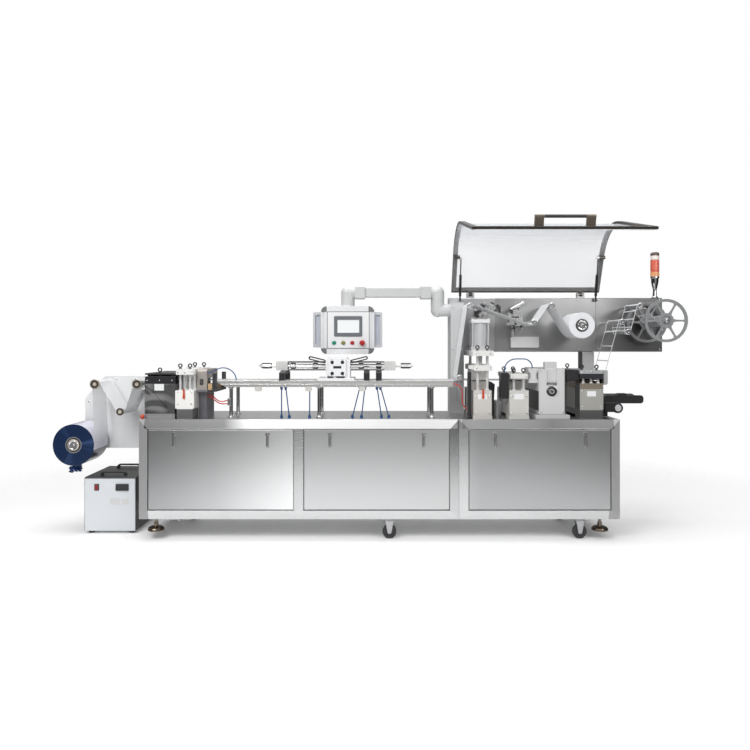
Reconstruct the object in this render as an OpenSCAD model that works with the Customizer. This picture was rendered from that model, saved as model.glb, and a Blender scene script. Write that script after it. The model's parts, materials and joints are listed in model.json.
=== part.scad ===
// Blister packing machine: cabinet, film line, stations, upper panel and guard.
// Millimetres, +Z up, origin on the floor under the middle of the whole machine.

/* [Cabinet] */
// Length of the left cabinet section
left_cabinet_length = 2250; // [1800:10:2600]
// Length of the right cabinet section
right_cabinet_length = 1130; // [1100:10:1500]
// Depth of the cabinet, front to back
cabinet_depth = 640; // [640:10:800]
// Height of the table top above the floor
table_height = 850; // [750:10:950]
// Height of the cabinet underside above the floor
ground_clearance = 150; // [120:5:200]
// Width of the frame round each door
frame_width = 64; // [40:2:90]
// Setback of the bevelled outer frame edge
frame_bevel = 18; // [5:1:30]
// Gap round each door panel
door_gap = 4; // [2:0.5:8]
// Thickness of a door panel
door_thickness = 22; // [12:1:40]
// Setback of a door face behind the frame
door_setback = 4; // [1:1:12]
// Bevel round the face of a door
door_bevel = 4; // [2:0.5:8]
// Distance of a handle from its door edge
handle_inset = 186; // [100:2:300]
// Length of a door handle
handle_length = 107; // [80:1:160]
// Stand of a door handle off its door
handle_rise = 22; // [16:1:30]
// Radius of a caster wheel
caster_wheel_radius = 50; // [40:1:55]
// Distance of casters and feet from the cabinet front and back
caster_inset = 75; // [60:5:150]
// Distance of the outer levelling feet from the cabinet ends
foot_inset = 103; // [80:1:130]
// Radius of a levelling foot pad
foot_radius = 58; // [40:2:60]
// Height of a raised foot pad above the floor
foot_lift = 59; // [20:1:70]

/* [Film line] */
// Width of the film
film_width = 240; // [150:5:240]
// Distance of the film centre line from the cabinet front
line_y = 300; // [290:5:300]
// Height of the film above the table
film_rise = 266; // [256:2:276]
// Thickness of the film and the foil
web_thickness = 1.2; // [0.6:0.1:3]
// Gap between a web and the roller under it
web_gap = 0.4; // [0.3:0.05:0.8]
// Radius of the film guide rollers
roller_radius = 25; // [16:1:27]
// Radius of the roller end caps
roller_cap_radius = 36; // [28:1:40]
// Radius of the dancer roller's end cap
dancer_cap_radius = 28; // [27:1:34]
// Thickness of the stand plate
stand_thickness = 12; // [8:1:25]
// Reach of the stand plate to the left of the cabinet
stand_reach = 572; // [560:2:620]
// Radius of the full film roll
film_roll_radius = 152; // [90:2:160]
// Distance of the film roll axis from the cabinet
film_roll_reach = 535; // [520:5:560]
// Height of the film roll axis
film_roll_height = 646; // [620:2:680]
// Radius of a roll spindle
spindle_radius = 36; // [20:1:40]
// Running clearance of a roll on its spindle
spindle_clearance = 0.3; // [0.3:0.05:1]

/* [Stations] */
// Distance of the station fronts from the cabinet front
station_front = 70; // [60:2:76]
// Depth of a station block
block_depth = 115; // [90:5:120]
// Height of a station block
block_rise = 200; // [180:2:220]
// Distance between two guide columns along the line
column_spacing = 70; // [56:2:76]
// Radius of a guide column
column_radius = 10; // [8:1:14]
// Radius of a thick guide post
post_radius = 17; // [12:1:18]
// Start of the heating station
heater_x = 22; // [10:2:24]
// Length of the heating station
heater_length = 214; // [150:2:214]
// Start of the forming station
forming_x = 239; // [239:1:250]
// Length of the forming block
forming_length = 134; // [120:2:140]
// Start of the film track
track_x = 524; // [520:2:560]
// Length of the film track
track_length = 1700; // [1640:10:1710]
// Width of the film track
track_width = 310; // [290:5:320]
// Thickness of the film track
track_thickness = 45; // [36:1:60]
// Diameter of a track leg
leg_width = 26; // [20:1:36]
// Distance of the first track legs from the left end of the track
first_leg = 89; // [85:1:120]
// Distance of the second track legs from the left end of the track
second_leg = 730; // [660:2:820]
// Distance of the third track legs from the left end of the track
third_leg = 1549; // [1460:1:1600]
// Middle of the feeder
feeder_x = 1371; // [1340:2:1400]
// Start of the sealing block
sealing_x = 2360; // [2356:2:2366]
// Length of the sealing block
sealing_length = 129; // [120:1:134]
// Radius of the sealing cylinder barrel
cylinder_radius = 60; // [45:1:62]
// Side of the square sealing cylinder caps
cylinder_cap = 140; // [132:2:150]
// Start of the cooling block
cooling_x = 2616; // [2612:2:2620]
// Length of the cooling block
cooling_length = 136; // [124:2:136]
// Start of the traction box
traction_x = 2824; // [2820:2:2830]
// Length of the traction box
traction_length = 187; // [160:1:188]
// Start of the cutting block
cutting_x = 3116; // [3112:2:3120]
// Length of the cutting block
cutting_length = 166; // [150:2:166]

/* [Upper panel] */
// Start of the upper panel
panel_x = 2250; // [2244:2:2252]
// Length of the upper panel
panel_length = 1670; // [1640:10:1800]
// Depth of the upper panel
panel_depth = 80; // [60:5:90]
// Height of the upper panel face
panel_height = 424; // [400:2:440]
// Height of the panel underside above the table
panel_rise = 471; // [466:1:490]
// Width of a column under the panel
column_width = 92; // [80:2:92]
// Distance of the right column from the start of the panel
right_column_offset = 1034; // [1000:2:1036]
// Distance of the foil roll axis from the start of the panel
foil_roll_offset = 917; // [890:1:940]
// Radius of the foil roll
foil_roll_radius = 94; // [60:2:100]
// Radius of a foil roller
foil_roller_radius = 18; // [12:1:20]
// Distance of the scrap reel axis from the start of the panel
reel_offset = 1522; // [1510:1:1560]
// Radius of a scrap reel flange
reel_radius = 157; // [120:1:165]
// Distance between the two reel flanges
reel_width = 340; // [300:5:350]
// Width of a reel flange rim
reel_rim = 20; // [12:1:30]
// Number of spokes in a reel flange
reel_spokes = 6; // [4:1:8]
// Radius of the signal lamp
lamp_radius = 33; // [24:1:45]

/* [Operator panel] */
// Width of the operator box
hmi_width = 408; // [360:4:440]
// Height of the operator box
hmi_height = 366; // [340:2:372]
// Depth of the operator box
hmi_depth = 130; // [110:5:160]
// Radius of the round arm joints
elbow_radius = 52; // [44:1:54]
// Side of the square arm tube
arm_tube = 72; // [50:2:90]
// Side of the square arm sleeves
arm_sleeve = 98; // [94:2:104]
// Length of the arm between its two vertical axes
arm_length = 694; // [660:2:720]
// Gap in each arm joint
arm_gap = 0.5; // [0.4:0.1:0.9]

/* [Guard] */
// Length of the guard
guard_length = 1176; // [1160:2:1200]
// Straight top part of the guard
guard_top = 310; // [300:5:320]
// Bend radius of the guard
guard_bend = 315; // [305:5:325]
// Angle of the guard bend
guard_bend_angle = 81; // [78:1:84]
// Straight front part of the guard
guard_front = 600; // [560:5:610]
// Angle from closed to open
guard_open = 67; // [55:1:70]
// Width of a guard bar
guard_bar = 35; // [25:1:40]
// Thickness of a guard bar with the sheet under it
guard_bar_thickness = 24; // [14:1:30]
// Thickness of the clear sheet
guard_sheet_thickness = 5; // [3:0.5:8]
// Length of the guard handle
guard_handle_length = 386; // [300:2:440]
// Stand of the guard handle off its bar
guard_handle_rise = 62; // [45:1:80]
// Radius of the guard handle
guard_handle_radius = 11; // [9:1:16]
// Radius of a gas strut tube
strut_radius = 10; // [8:0.5:12]

/* [Chiller] */
// Width of the chiller
chiller_width = 374; // [340:2:390]
// Depth of the chiller
chiller_depth = 450; // [400:5:455]
// Height of the chiller without its handles
chiller_height = 410; // [380:2:420]
// Gap between the chiller and the cabinet
chiller_gap = 84; // [60:2:110]

/* [Hidden] */
$fn = 48;
cabinet_length = left_cabinet_length + right_cabinet_length;
seam_gap = 1;
web_z = table_height + film_rise;
web_low = line_y - film_width / 2;
web_high = line_y + film_width / 2;
die_gap = 4;
station_back = 2 * line_y - station_front;
block_top = table_height + block_rise;
block_middle = block_depth / 2;
track_low = line_y - track_width / 2;
track_high = line_y + track_width / 2;
track_top = web_z - web_thickness / 2 - web_gap;
stand_y = web_high + 35;
roller_front = web_low - 20;
film_roll_x = -film_roll_reach;
film_roll_z = film_roll_height;
panel_back = cabinet_depth;
panel_y = panel_back - panel_depth;
panel_z = table_height + panel_rise;
panel_top = panel_z + panel_height;
column_x = panel_x - 8;
column_end = column_x + column_width + 8;
column_front = web_high + 6;
foil_roll_x = panel_x + foil_roll_offset;
foil_roll_z = panel_z + 196;
reel_x = panel_x + reel_offset;
reel_z = panel_z + 230;
reel_front = panel_y - 60 - reel_width;
arm_y = panel_y - 80;
arm_x = panel_x - 105;
arm_z = panel_top + 34;
arm_joint_z = panel_top - 36;
hmi_x = arm_x - arm_length;
hmi_top = panel_top - 74;
hmi_low = hmi_top - hmi_height;
hmi_face = arm_y - hmi_depth / 2;
guard_x = panel_x + 20;
guard_y = panel_back - 15;
guard_z = panel_top + 30;
strut_inset = guard_bar + 22;
strut_low = [85, -45];
strut_high_radius = 310;
strut_high_angle = -4;
strut_high_open = strut_high_radius * [
    cos(strut_high_angle + guard_open),
    sin(strut_high_angle + guard_open)
];
strut_high_closed = strut_high_radius * [
    cos(strut_high_angle),
    sin(strut_high_angle)
];
strut_open_length = norm(strut_high_open - strut_low);
strut_closed_length = norm(strut_high_closed - strut_low);
strut_open_angle = heading(strut_low, strut_high_open);
strut_tube_length = strut_closed_length - 31;
strut_rod_length = strut_closed_length - 31;
chiller_x = -chiller_gap - chiller_width;
chiller_y = 185;
guard_lean = 90 - guard_bend_angle;
guard_end_angle = guard_open - guard_bend_angle;
guard_end = guard_top * cos(guard_open) + guard_bend * (sin(guard_open) - sin(guard_end_angle))
    + guard_front * cos(guard_end_angle);
guard_reach = guard_end - guard_bar / 2 * cos(guard_end_angle)
    - (guard_bar_thickness + guard_handle_rise) * sin(guard_end_angle) + guard_handle_radius;
x_middle = (reel_x + reel_radius + film_roll_x - film_roll_radius) / 2;
y_middle = (cabinet_depth - door_setback + handle_rise + guard_y - guard_reach) / 2;

// Routes of the free air hoses, from fitting to fitting
hose_radius = 4;
forming_hose = [
    [446, 156, 1175], [462, 156, 1175], [478, 156, 1179], [494, 156, 1187], [511, 156, 1196],
    [529, 156, 1203], [547, 156, 1208], [566, 156, 1209], [585, 156, 1206], [603, 156, 1199],
    [619, 156, 1189], [633, 156, 1176], [644, 156, 1161], [651, 156, 1145], [654, 156, 1130],
    [654, 156, 1115]
];
cooling_hose = [
    [2590, 130, 1175], [2590, 130, 1190], [2593, 130, 1212], [2601, 130, 1232], [2615, 130, 1249],
    [2632, 130, 1263], [2652, 130, 1271], [2674, 130, 1274], [2693, 130, 1274], [2712, 130, 1274],
    [2732, 130, 1274], [2755, 130, 1269], [2774, 130, 1256], [2787, 130, 1237], [2792, 130, 1214],
    [2792, 130, 1206]
];
upper_red_hose = [
    [432, 200, 1012], [446, 200, 1012], [459, 199, 1009], [471, 198, 1003], [482, 197, 995],
    [492, 196, 986], [502, 195, 977], [513, 194, 970], [525, 193, 965], [538, 192, 962],
    [551, 191, 962], [563, 190, 965], [573, 188, 968], [581, 188, 970], [590, 188, 970]
];
lower_red_hose = [
    [432, 222, 990], [445, 222, 990], [458, 221, 987], [470, 219, 981], [481, 216, 973],
    [492, 212, 965], [503, 207, 958], [515, 201, 952], [527, 194, 948], [540, 187, 946],
    [552, 181, 946], [563, 177, 946], [573, 174, 947], [582, 173, 947], [590, 173, 947]
];
sealing_red_hose = [
    [2224, 165, 1092], [2232, 165, 1092], [2248, 165, 1090], [2262, 164, 1084], [2274, 164, 1074],
    [2284, 163, 1062], [2290, 162, 1048], [2292, 161, 1032], [2292, 160, 1010], [2292, 159, 988],
    [2292, 158, 966], [2294, 157, 950], [2300, 156, 936], [2310, 155, 924], [2322, 154, 914],
    [2336, 153, 908], [2352, 152, 906], [2360, 152, 906]
];

// Angle of the line from a to b in a plane
function heading(a, b) = atan2(b[1] - a[1], b[0] - a[0]);

// Box between two opposite corners
module slab(low, high) {
    translate(low)
        cube(high - low);
}

// Round bar along X, Y or Z
module bar_x(x0, x1, y, z, r) {
    translate([x0, y, z])
        rotate([0, 90, 0])
            cylinder(h = x1 - x0, r = r);
}

module bar_y(x, y0, y1, z, r) {
    translate([x, y0, z])
        rotate([-90, 0, 0])
            cylinder(h = y1 - y0, r = r);
}

module bar_z(x, y, z0, z1, r) {
    translate([x, y, z0])
        cylinder(h = z1 - z0, r = r);
}

// Front view profile carried from y0 to y1
module plate_xz(y0, y1) {
    translate([0, y1, 0])
        rotate([90, 0, 0])
            linear_extrude(y1 - y0)
                children();
}

// End view profile carried from x0 to x1
module beam_x(x0, x1) {
    translate([x0, 0, 0])
        rotate([90, 0, 90])
            linear_extrude(x1 - x0)
                children();
}

// Profile of [radius, distance] turned about an axis towards +X, +Y or +Z
module turned_x(at, profile) {
    translate(at)
        rotate([0, 90, 0])
            rotate_extrude()
                polygon(profile);
}

module turned_y(at, profile) {
    translate(at)
        rotate([-90, 0, 0])
            rotate_extrude()
                polygon(profile);
}

module turned_z(at, profile) {
    translate(at)
        rotate_extrude()
            polygon(profile);
}

// Rectangle with cut corners
function chamfered(low, high, c) = [
    [low[0] + c, low[1]], [high[0] - c, low[1]], [high[0], low[1] + c], [high[0], high[1] - c],
    [high[0] - c, high[1]], [low[0] + c, high[1]], [low[0], high[1] - c], [low[0], low[1] + c]
];

// Rectangle with round corners
module rounded(low, high, r) {
    translate([low[0] + r, low[1]])
        square([high[0] - low[0] - 2 * r, high[1] - low[1]]);
    translate([low[0], low[1] + r])
        square([high[0] - low[0], high[1] - low[1] - 2 * r]);
    for (x = [low[0] + r, high[0] - r])
        for (y = [low[1] + r, high[1] - r])
            translate([x, y])
                circle(r);
}

// Round hose swept along a route
module hose(route) {
    sides = 10;
    last = len(route) - 1;
    rings = [
        for (i = [0 : last])
            let (way = route[min(i + 1, last)] - route[max(i - 1, 0)])
            let (across = cross([0, 1, 0], way) / norm(cross([0, 1, 0], way)))
            let (up = cross(way, across) / norm(way))
            for (j = [0 : sides - 1])
                route[i] + hose_radius * (cos(j * 360 / sides) * across + sin(j * 360 / sides) * up)
    ];
    walls = [
        for (i = [0 : last - 1])
            for (j = [0 : sides - 1])
                for (half = [0, 1])
                    let (a = i * sides + j)
                    let (b = i * sides + (j + 1) % sides)
                    half == 0 ? [a, a + sides, b] : [b, a + sides, b + sides]
    ];
    ends = [
        [for (j = [0 : sides - 1]) j],
        [for (j = [sides - 1 : -1 : 0]) last * sides + j]
    ];
    polyhedron(rings, concat(walls, ends));
}

// Carries the machine from its cabinet corner to the shared frame
module placed() {
    translate([-x_middle, -y_middle, 0])
        children();
}

// Cabinet section from x0 to x1 with bevelled frames front and back
module cabinet_body(x0, x1, bays) {
    difference() {
        slab([x0, 0, ground_clearance], [x1, cabinet_depth, table_height]);
        for (back = [0, 1]) {
            frame_bevels(x0, x1, back);
            for (bay = [0 : bays - 1])
                door_recess(bay_start(x0, x1, bays, bay), bay_end(x0, x1, bays, bay), back);
        }
    }
}

function bay_width(x0, x1, bays) = (x1 - x0 - frame_width) / bays;
function bay_start(x0, x1, bays, bay) = x0 + frame_width + bay * bay_width(x0, x1, bays);
function bay_end(x0, x1, bays, bay) = x0 + (bay + 1) * bay_width(x0, x1, bays);

// Mirrors the front face work to the back face
module faced(back) {
    if (back == 0)
        children();
    else
        translate([0, cabinet_depth, 0])
            mirror([0, 1, 0])
                children();
}

module frame_bevels(x0, x1, back) {
    wedge = [[-1, -1], [frame_width, -1], [frame_width, 0], [0, frame_bevel], [-1, frame_bevel]];
    faced(back) {
        translate([x0, 0, ground_clearance - 1])
            linear_extrude(table_height - ground_clearance + 2)
                polygon(wedge);
        translate([x1, 0, ground_clearance - 1])
            mirror([1, 0, 0])
                linear_extrude(table_height - ground_clearance + 2)
                    polygon(wedge);
        translate([x1 + 1, 0, ground_clearance])
            rotate([0, -90, 0])
                linear_extrude(x1 - x0 + 2)
                    polygon(wedge);
        translate([x0 - 1, 0, table_height])
            rotate([0, 90, 0])
                linear_extrude(x1 - x0 + 2)
                    polygon(wedge);
    }
}

module door_recess(x0, x1, back) {
    faced(back)
        slab(
            [x0, -1, ground_clearance + frame_width],
            [x1, door_setback + door_thickness, table_height - frame_width]
        );
}

module left_cabinet() {
    color("silver")
        cabinet_body(0, left_cabinet_length - seam_gap, 2);
}

module right_cabinet() {
    color("silver")
        cabinet_body(left_cabinet_length, cabinet_length, 1);
}

function door_spans() = [
    [bay_start(0, left_cabinet_length - seam_gap, 2, 0), bay_end(0, left_cabinet_length - seam_gap, 2, 0)],
    [bay_start(0, left_cabinet_length - seam_gap, 2, 1), bay_end(0, left_cabinet_length - seam_gap, 2, 1)],
    [bay_start(left_cabinet_length, cabinet_length, 1, 0), bay_end(left_cabinet_length, cabinet_length, 1, 0)]
];

module door_panels() {
    color("lightgrey")
        for (back = [0, 1])
            for (span = door_spans())
                faced(back)
                    door_panel(span[0] + door_gap, span[1] - door_gap);
}

// Door from x0 to x1 with a mitred bevel round its face
module door_panel(x0, x1) {
    y0 = door_setback;
    y1 = door_setback + door_thickness;
    z0 = ground_clearance + frame_width + door_gap;
    z1 = table_height - frame_width - door_gap;
    edge = y0 + door_bevel;
    intersection() {
        translate([0, 0, z0])
            linear_extrude(z1 - z0)
                polygon([
                    [x0, y1], [x0, edge], [x0 + door_bevel, y0], [x1 - door_bevel, y0],
                    [x1, edge], [x1, y1]
                ]);
        beam_x(x0, x1)
            polygon([
                [y1, z0], [edge, z0], [y0, z0 + door_bevel], [y0, z1 - door_bevel],
                [edge, z1], [y1, z1]
            ]);
    }
}

module door_handles() {
    color("gainsboro")
        for (back = [0, 1])
            for (span = door_spans())
                for (x = [span[0] + handle_inset, span[1] - handle_inset])
                    faced(back)
                        translate([x, door_setback, table_height - frame_width - 25])
                            door_handle();
}

// Slim upright latch with a round head, its back face on the door
module door_handle() {
    head = 15;
    body = 10;
    difference() {
        plate_xz(-7, 0) {
            translate([-body, -handle_length])
                square([2 * body, handle_length - head]);
            translate([0, -head])
                circle(head);
        }
        slab([-body + 3, -8, -handle_length + 8], [-1, -3, -2 * head]);
    }
    plate_xz(-handle_rise, -6.9)
        rounded([1, -handle_length + 6], [body - 1, -head], 3);
}

function foot_places() = [
    for (x = [foot_inset, cabinet_length - foot_inset - 19])
        for (y = [caster_inset, cabinet_depth - caster_inset])
            [x, y, foot_lift]
];

// Domed pad on a threaded stem with two nuts
module levelling_feet() {
    stem = 10;
    rise = ground_clearance - foot_lift;
    dome = [for (a = [0 : 15 : 75]) [stem + 6 + (foot_radius - stem - 6) * cos(a), 7 + 24 * sin(a)]];
    color("peru")
        for (p = foot_places()) {
            turned_z(p, concat(
                [[0, 0], [foot_radius - 2, 0], [foot_radius, 2]],
                dome,
                [[stem + 6, 32], [stem + 6, 42], [stem, 44], [stem, rise], [0, rise]]
            ));
            translate(p)
                for (z = [44, rise - 12])
                    translate([0, 0, z])
                        cylinder(h = 12, r = 17, $fn = 6);
        }
}

middle_caster = left_cabinet_length - 488;
function caster_places() = [
    for (x = [foot_inset + 128, middle_caster, cabinet_length - foot_inset - 164])
        for (y = [caster_inset, cabinet_depth - caster_inset])
            [x, y]
];
// The front left place has its plate but no wheel
function wheel_places() = [for (p = caster_places()) if (p != caster_places()[0]) p];

caster_fork_gap = 2;
caster_tread = 34;
axle_radius = 7;

module caster_brackets() {
    color("dimgrey") {
        for (p = wheel_places())
            translate([p[0], p[1], 0])
                caster_bracket();
        translate([caster_places()[0][0], caster_places()[0][1], 0])
            empty_caster_plate();
    }
}

module caster_plate() {
    translate([0, 0, ground_clearance - 6])
        linear_extrude(6)
            difference() {
                rounded([-52, -46], [52, 46], 8);
                for (x = [-40, 40])
                    for (y = [-34, 34])
                        translate([x, y])
                            circle(5);
            }
}

// Mounting plate with two lugs turned down
module empty_caster_plate() {
    caster_plate();
    for (x = [-46, 34])
        beam_x(x, x + 12)
            polygon([
                [-20, ground_clearance - 5.9], [20, ground_clearance - 5.9],
                [14, ground_clearance - 26], [-14, ground_clearance - 26]
            ]);
}

// Fork with swivel race, axle and brake pedal
module caster_bracket() {
    top = ground_clearance - 22;
    axle = caster_wheel_radius;
    fork = caster_tread / 2 + caster_fork_gap;
    caster_plate();
    turned_z([0, 0, top], [[0, 0], [34, 0], [38, 4], [38, 8], [32, 11], [32, 17], [0, 17]]);
    for (side = [-1, 1])
        plate_xz(side * (fork + 2.5) - 2.5, side * (fork + 2.5) + 2.5) {
            polygon([
                [-30, top + 2], [30, top + 2], [26, top - 14], [13, axle - 6],
                [-13, axle - 6], [-26, top - 14]
            ]);
            translate([0, axle])
                circle(14);
        }
    slab([-28, -fork - 5, top - 3], [28, fork + 5, top + 3]);
    bar_y(0, -fork - 9, fork + 9, axle, axle_radius);
    plate_xz(-14, 14)
        polygon([[26, top + 2], [58, top - 12], [60, top - 7], [28, top + 8]]);
}

module caster_wheels() {
    half = caster_tread / 2;
    r = caster_wheel_radius;
    bore = axle_radius + 0.3;
    color("black")
        for (p = wheel_places())
            turned_y([p[0], p[1], r], [
                [bore, -half], [20, -half], [22, 4 - half], [r - 13, 4 - half], [r - 9, 1 - half],
                [r - 3, 3 - half],
                [r, 8 - half], [r, half - 8], [r - 3, half - 3], [r - 9, half - 1], [r - 13, half - 4],
                [22, half - 4], [20, half], [bore, half]
            ]);
}

// Plate at the left end that carries the film roll and guide rollers
module film_stand_plate() {
    low = table_height - 268;
    high = table_height + 284;
    back = stand_y + stand_thickness;
    lip = 26;
    color("lightsteelblue") {
        plate_xz(stand_y, back)
            polygon([
                [-stand_reach, low], [0, low], [0, high],
                [-stand_reach + 153, high], [-stand_reach, high - 170]
            ]);
        slab([-stand_reach, back - 0.1, low], [0, back + lip, low + 4]);
        slab([-stand_reach + 153, back - 0.1, high - 4], [0, back + lip, high]);
        slab([-60, back - 0.1, low + 20], [0, back + 60, table_height - 20]);
    }
}

// Rollers as [x, z, radius, side], side 1 turning the web left and -1 right
film_rollers = [
    [-stand_reach + 199, table_height + 240, roller_radius, -1],
    [-stand_reach + 382, table_height + 40, roller_radius, 1],
    [-stand_reach + 504, web_z - web_thickness / 2 - web_gap - roller_radius, roller_radius, -1]
];
dancer_pivot = [-stand_reach + 452, table_height + 166];
dancer_arm = stand_y - 18;

module film_guide_rollers() {
    color("rosybrown") {
        guide_roller(film_rollers[0], roller_cap_radius, stand_y);
        guide_roller(film_rollers[1], dancer_cap_radius, dancer_arm);
        guide_roller(film_rollers[2], roller_cap_radius, stand_y);
        dancer_link(dancer_pivot, film_rollers[1]);
    }
}

// Roller on a stub shaft with a dished front cap
module guide_roller(r, cap, back) {
    tube = web_high + 6 - roller_front;
    end = back - roller_front;
    turned_y([r[0], roller_front, r[1]], [
        [0, 3], [9, 3], [9, 0], [cap - 3, 0], [cap, 3], [cap, 10], [r[2], 14],
        [r[2], tube], [12, tube], [12, end], [0, end]
    ]);
}

// Flat bar from a pivot on the stand plate to the dancer roller
module dancer_link(a, b) {
    angle = heading(a, b);
    plate_xz(dancer_arm - 0.1, dancer_arm + 8) {
        for (p = [a, b])
            translate([p[0], p[1]])
                circle(17);
        translate([a[0], a[1]])
            rotate([0, 0, angle])
                translate([0, -10])
                    square([norm([b[0] - a[0], b[1] - a[1]]), 20]);
    }
    bar_y(a[0], dancer_arm + 7, stand_y, a[1], 12);
}

module roll_spindles() {
    color("gainsboro") {
        spindle(film_roll_x, film_roll_z, stand_y);
        spindle(foil_roll_x, foil_roll_z, panel_y);
        turned_y([reel_x, reel_front - 22, reel_z], [
            [0, 0], [reel_spindle - 3, 0], [reel_spindle, 3],
            [reel_spindle, panel_y - reel_front - 8], [34, panel_y - reel_front - 4],
            [34, panel_y - reel_front + 22], [0, panel_y - reel_front + 22]
        ]);
    }
}

reel_spindle = spindle_radius * 0.4;

// Spindle with a dished face and a collar behind the roll
module spindle(x, z, back) {
    front = web_low - 12;
    collar = web_high + 4 - front;
    end = back - front;
    r = spindle_radius;
    turned_y([x, front, z], [
        [0, 2], [8, 2], [8, 8], [r - 10, 8], [r - 6, 0], [r - 2, 0], [r, 2], [r, collar],
        [r + 12, collar], [r + 14, collar + 2], [r + 14, end], [0, end]
    ]);
}

// Direction of the web between two rollers of a path
function run_angle(a, b) = heading(a, b)
    - asin((signed_radius(b) - signed_radius(a)) / norm([b[0] - a[0], b[1] - a[1]]));
function signed_radius(r) = r[3] * (r[2] > 0 ? r[2] + web_gap + web_thickness / 2 : 0);
function touch_point(r, angle) = [r[0] + signed_radius(r) * sin(angle), r[1] - signed_radius(r) * cos(angle)];
function turn(angle, side) = side > 0 ? (angle % 360 + 360) % 360 : -((-angle % 360 + 360) % 360);

// One side of a web, d to the left of its middle line
function web_side(path, angles, d) = concat(
    [beside(touch_point(path[0], angles[0]), angles[0], d)],
    [
        for (i = [1 : 1 : len(path) - 2])
            for (step = [0 : web_steps])
                wrap_point(path[i], angles[i - 1], angles[i], step / web_steps, d)
    ],
    [beside(touch_point(path[len(path) - 1], angles[len(path) - 2]), angles[len(path) - 2], d)]
);
function beside(point, angle, d) = point + d * [-sin(angle), cos(angle)];
function wrap_point(r, angle_in, angle_out, share, d) =
    let (angle = angle_in - 90 * r[3] + share * turn(angle_out - angle_in, r[3]))
    let (radius = abs(signed_radius(r)) - r[3] * d)
    [r[0] + radius * cos(angle), r[1] + radius * sin(angle)];
function backwards(list) = [for (i = [len(list) - 1 : -1 : 0]) list[i]];
web_steps = 14;

// Web that follows a path of rollers between y0 and y1
module web(path, y0, y1) {
    angles = [for (i = [0 : len(path) - 2]) run_angle(path[i], path[i + 1])];
    left = web_side(path, angles, web_thickness / 2);
    right = web_side(path, angles, -web_thickness / 2);
    plate_xz(y0, y1)
        polygon(concat(left, backwards(right)));
}

film_path = [
    [film_roll_x, film_roll_z, film_roll_radius, 1],
    film_rollers[0],
    film_rollers[1],
    film_rollers[2],
    [cutting_x + cutting_length / 2, web_z, 0, 1]
];

module film_web() {
    color("azure", 0.5)
        web(film_path, web_low, web_high);
}

heater_top = web_z - 19;
heater_wall = 12;

// Housing with a framed front window and a well for the lower plate
module heating_box() {
    x1 = heater_x + heater_length;
    border = 14;
    color("darkslategrey")
        difference() {
            slab([heater_x, station_front, table_height], [x1, station_back, heater_top]);
            slab(
                [heater_x + heater_wall, station_front + heater_wall, web_z - 60],
                [x1 - heater_wall, station_back - heater_wall, web_z]
            );
            for (y = [station_front - 1, station_back - 3])
                plate_xz(y, y + 4)
                    polygon(chamfered(
                        [heater_x + border, table_height + border],
                        [x1 - border, heater_top - border],
                        6
                    ));
        }
}

heater_bar = 32;
heater_bar_top = web_z + 34;
heater_plate_low = web_z + 46;
heater_plate_top = web_z + 57;

module heating_plates() {
    x1 = heater_x + heater_length;
    color("black") {
        slab(
            [heater_x + heater_wall + 0.5, web_low - 30, web_z - 60],
            [x1 - heater_wall - 0.5, web_high + 30, web_z - die_gap]
        );
        slab([heater_x + 6, web_low - 30, web_z + die_gap], [x1 - 6, web_high + 30, heater_plate_low + 0.1]);
        slab([heater_x + 2, station_front, heater_plate_low], [x1 - 2, station_back, heater_plate_top]);
        for (y = [station_front, station_back - heater_bar]) {
            plate_xz(y, y + heater_bar)
                polygon(chamfered([heater_x + 2, heater_top], [x1 - 2, heater_bar_top], 2));
            for (x = [heater_x + 24, heater_x + heater_length / 2, x1 - 24])
                bar_z(x, y + heater_bar / 2, heater_bar_top - 0.1, heater_plate_low + 0.1, 8);
        }
        eyebolt(heater_x + 103, station_front + 20, heater_plate_top);
    }
}

// Lifting eye standing on height z
module eyebolt(x, y, z) {
    turned_z([x, y, z - 0.1], [[0, 0], [11, 0], [11, 4], [6, 7], [5, 14], [0, 14]]);
    translate([x, y, z + 24])
        rotate([90, 0, 0])
            rotate_extrude()
                translate([12, 0])
                    circle(4.5, $fn = 24);
}

// Front and rear block of a station: stepped foot, body, grooved top band
module station_blocks(x, length, top, foot, step) {
    x1 = x + length;
    low = table_height;
    band = top - 19;
    groove = 3;
    for (y = [station_front, station_back - block_depth])
        plate_xz(y, y + block_depth)
            polygon([
                [x + step, low], [x1 - step, low], [x1 - step, low + foot], [x1, low + foot],
                [x1, band], [x1 - groove, band], [x1 - groove, band + groove], [x1, band + groove],
                [x1, top], [x, top],
                [x, band + groove], [x + groove, band + groove], [x + groove, band], [x, band],
                [x, low + foot], [x + step, low + foot]
            ]);
}

// Bed between the two blocks, up to a gap under the film
module station_bed(x0, x1) {
    slab(
        [x0, station_front + block_depth - 0.1, table_height + 20],
        [x1, station_back - block_depth + 0.1, web_z - die_gap]
    );
}

forming_arch = forming_x + forming_length + 3;
forming_arch_length = 70;
forming_end = forming_arch + 136;
arch_front = web_low - 40;
arch_back = web_high + 40;
arch_wall = 32;
forming_base = table_height + 186;

module forming_blocks() {
    color("linen")
        station_blocks(forming_x, forming_length, block_top, 72, 11);
    color("slategrey") {
        station_bed(forming_x + 10, forming_x + forming_length - 10);
        slab(
            [forming_x + 100, web_low + 10, table_height],
            [forming_x + 193, web_high - 10, forming_base + 0.1]
        );
        slab([forming_arch, arch_front - 5, forming_base], [forming_end, arch_back + 5, forming_base + 14]);
        for (y = [arch_front, arch_back - arch_wall]) {
            plate_xz(y, y + arch_wall)
                polygon(chamfered(
                    [forming_arch + 78, forming_base + 13.9],
                    [forming_arch + 108, web_z - 20],
                    4
                ));
            slab([forming_end - 26, y, forming_base + 13.9], [forming_end, y + arch_wall, web_z + 54]);
        }
    }
}

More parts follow.
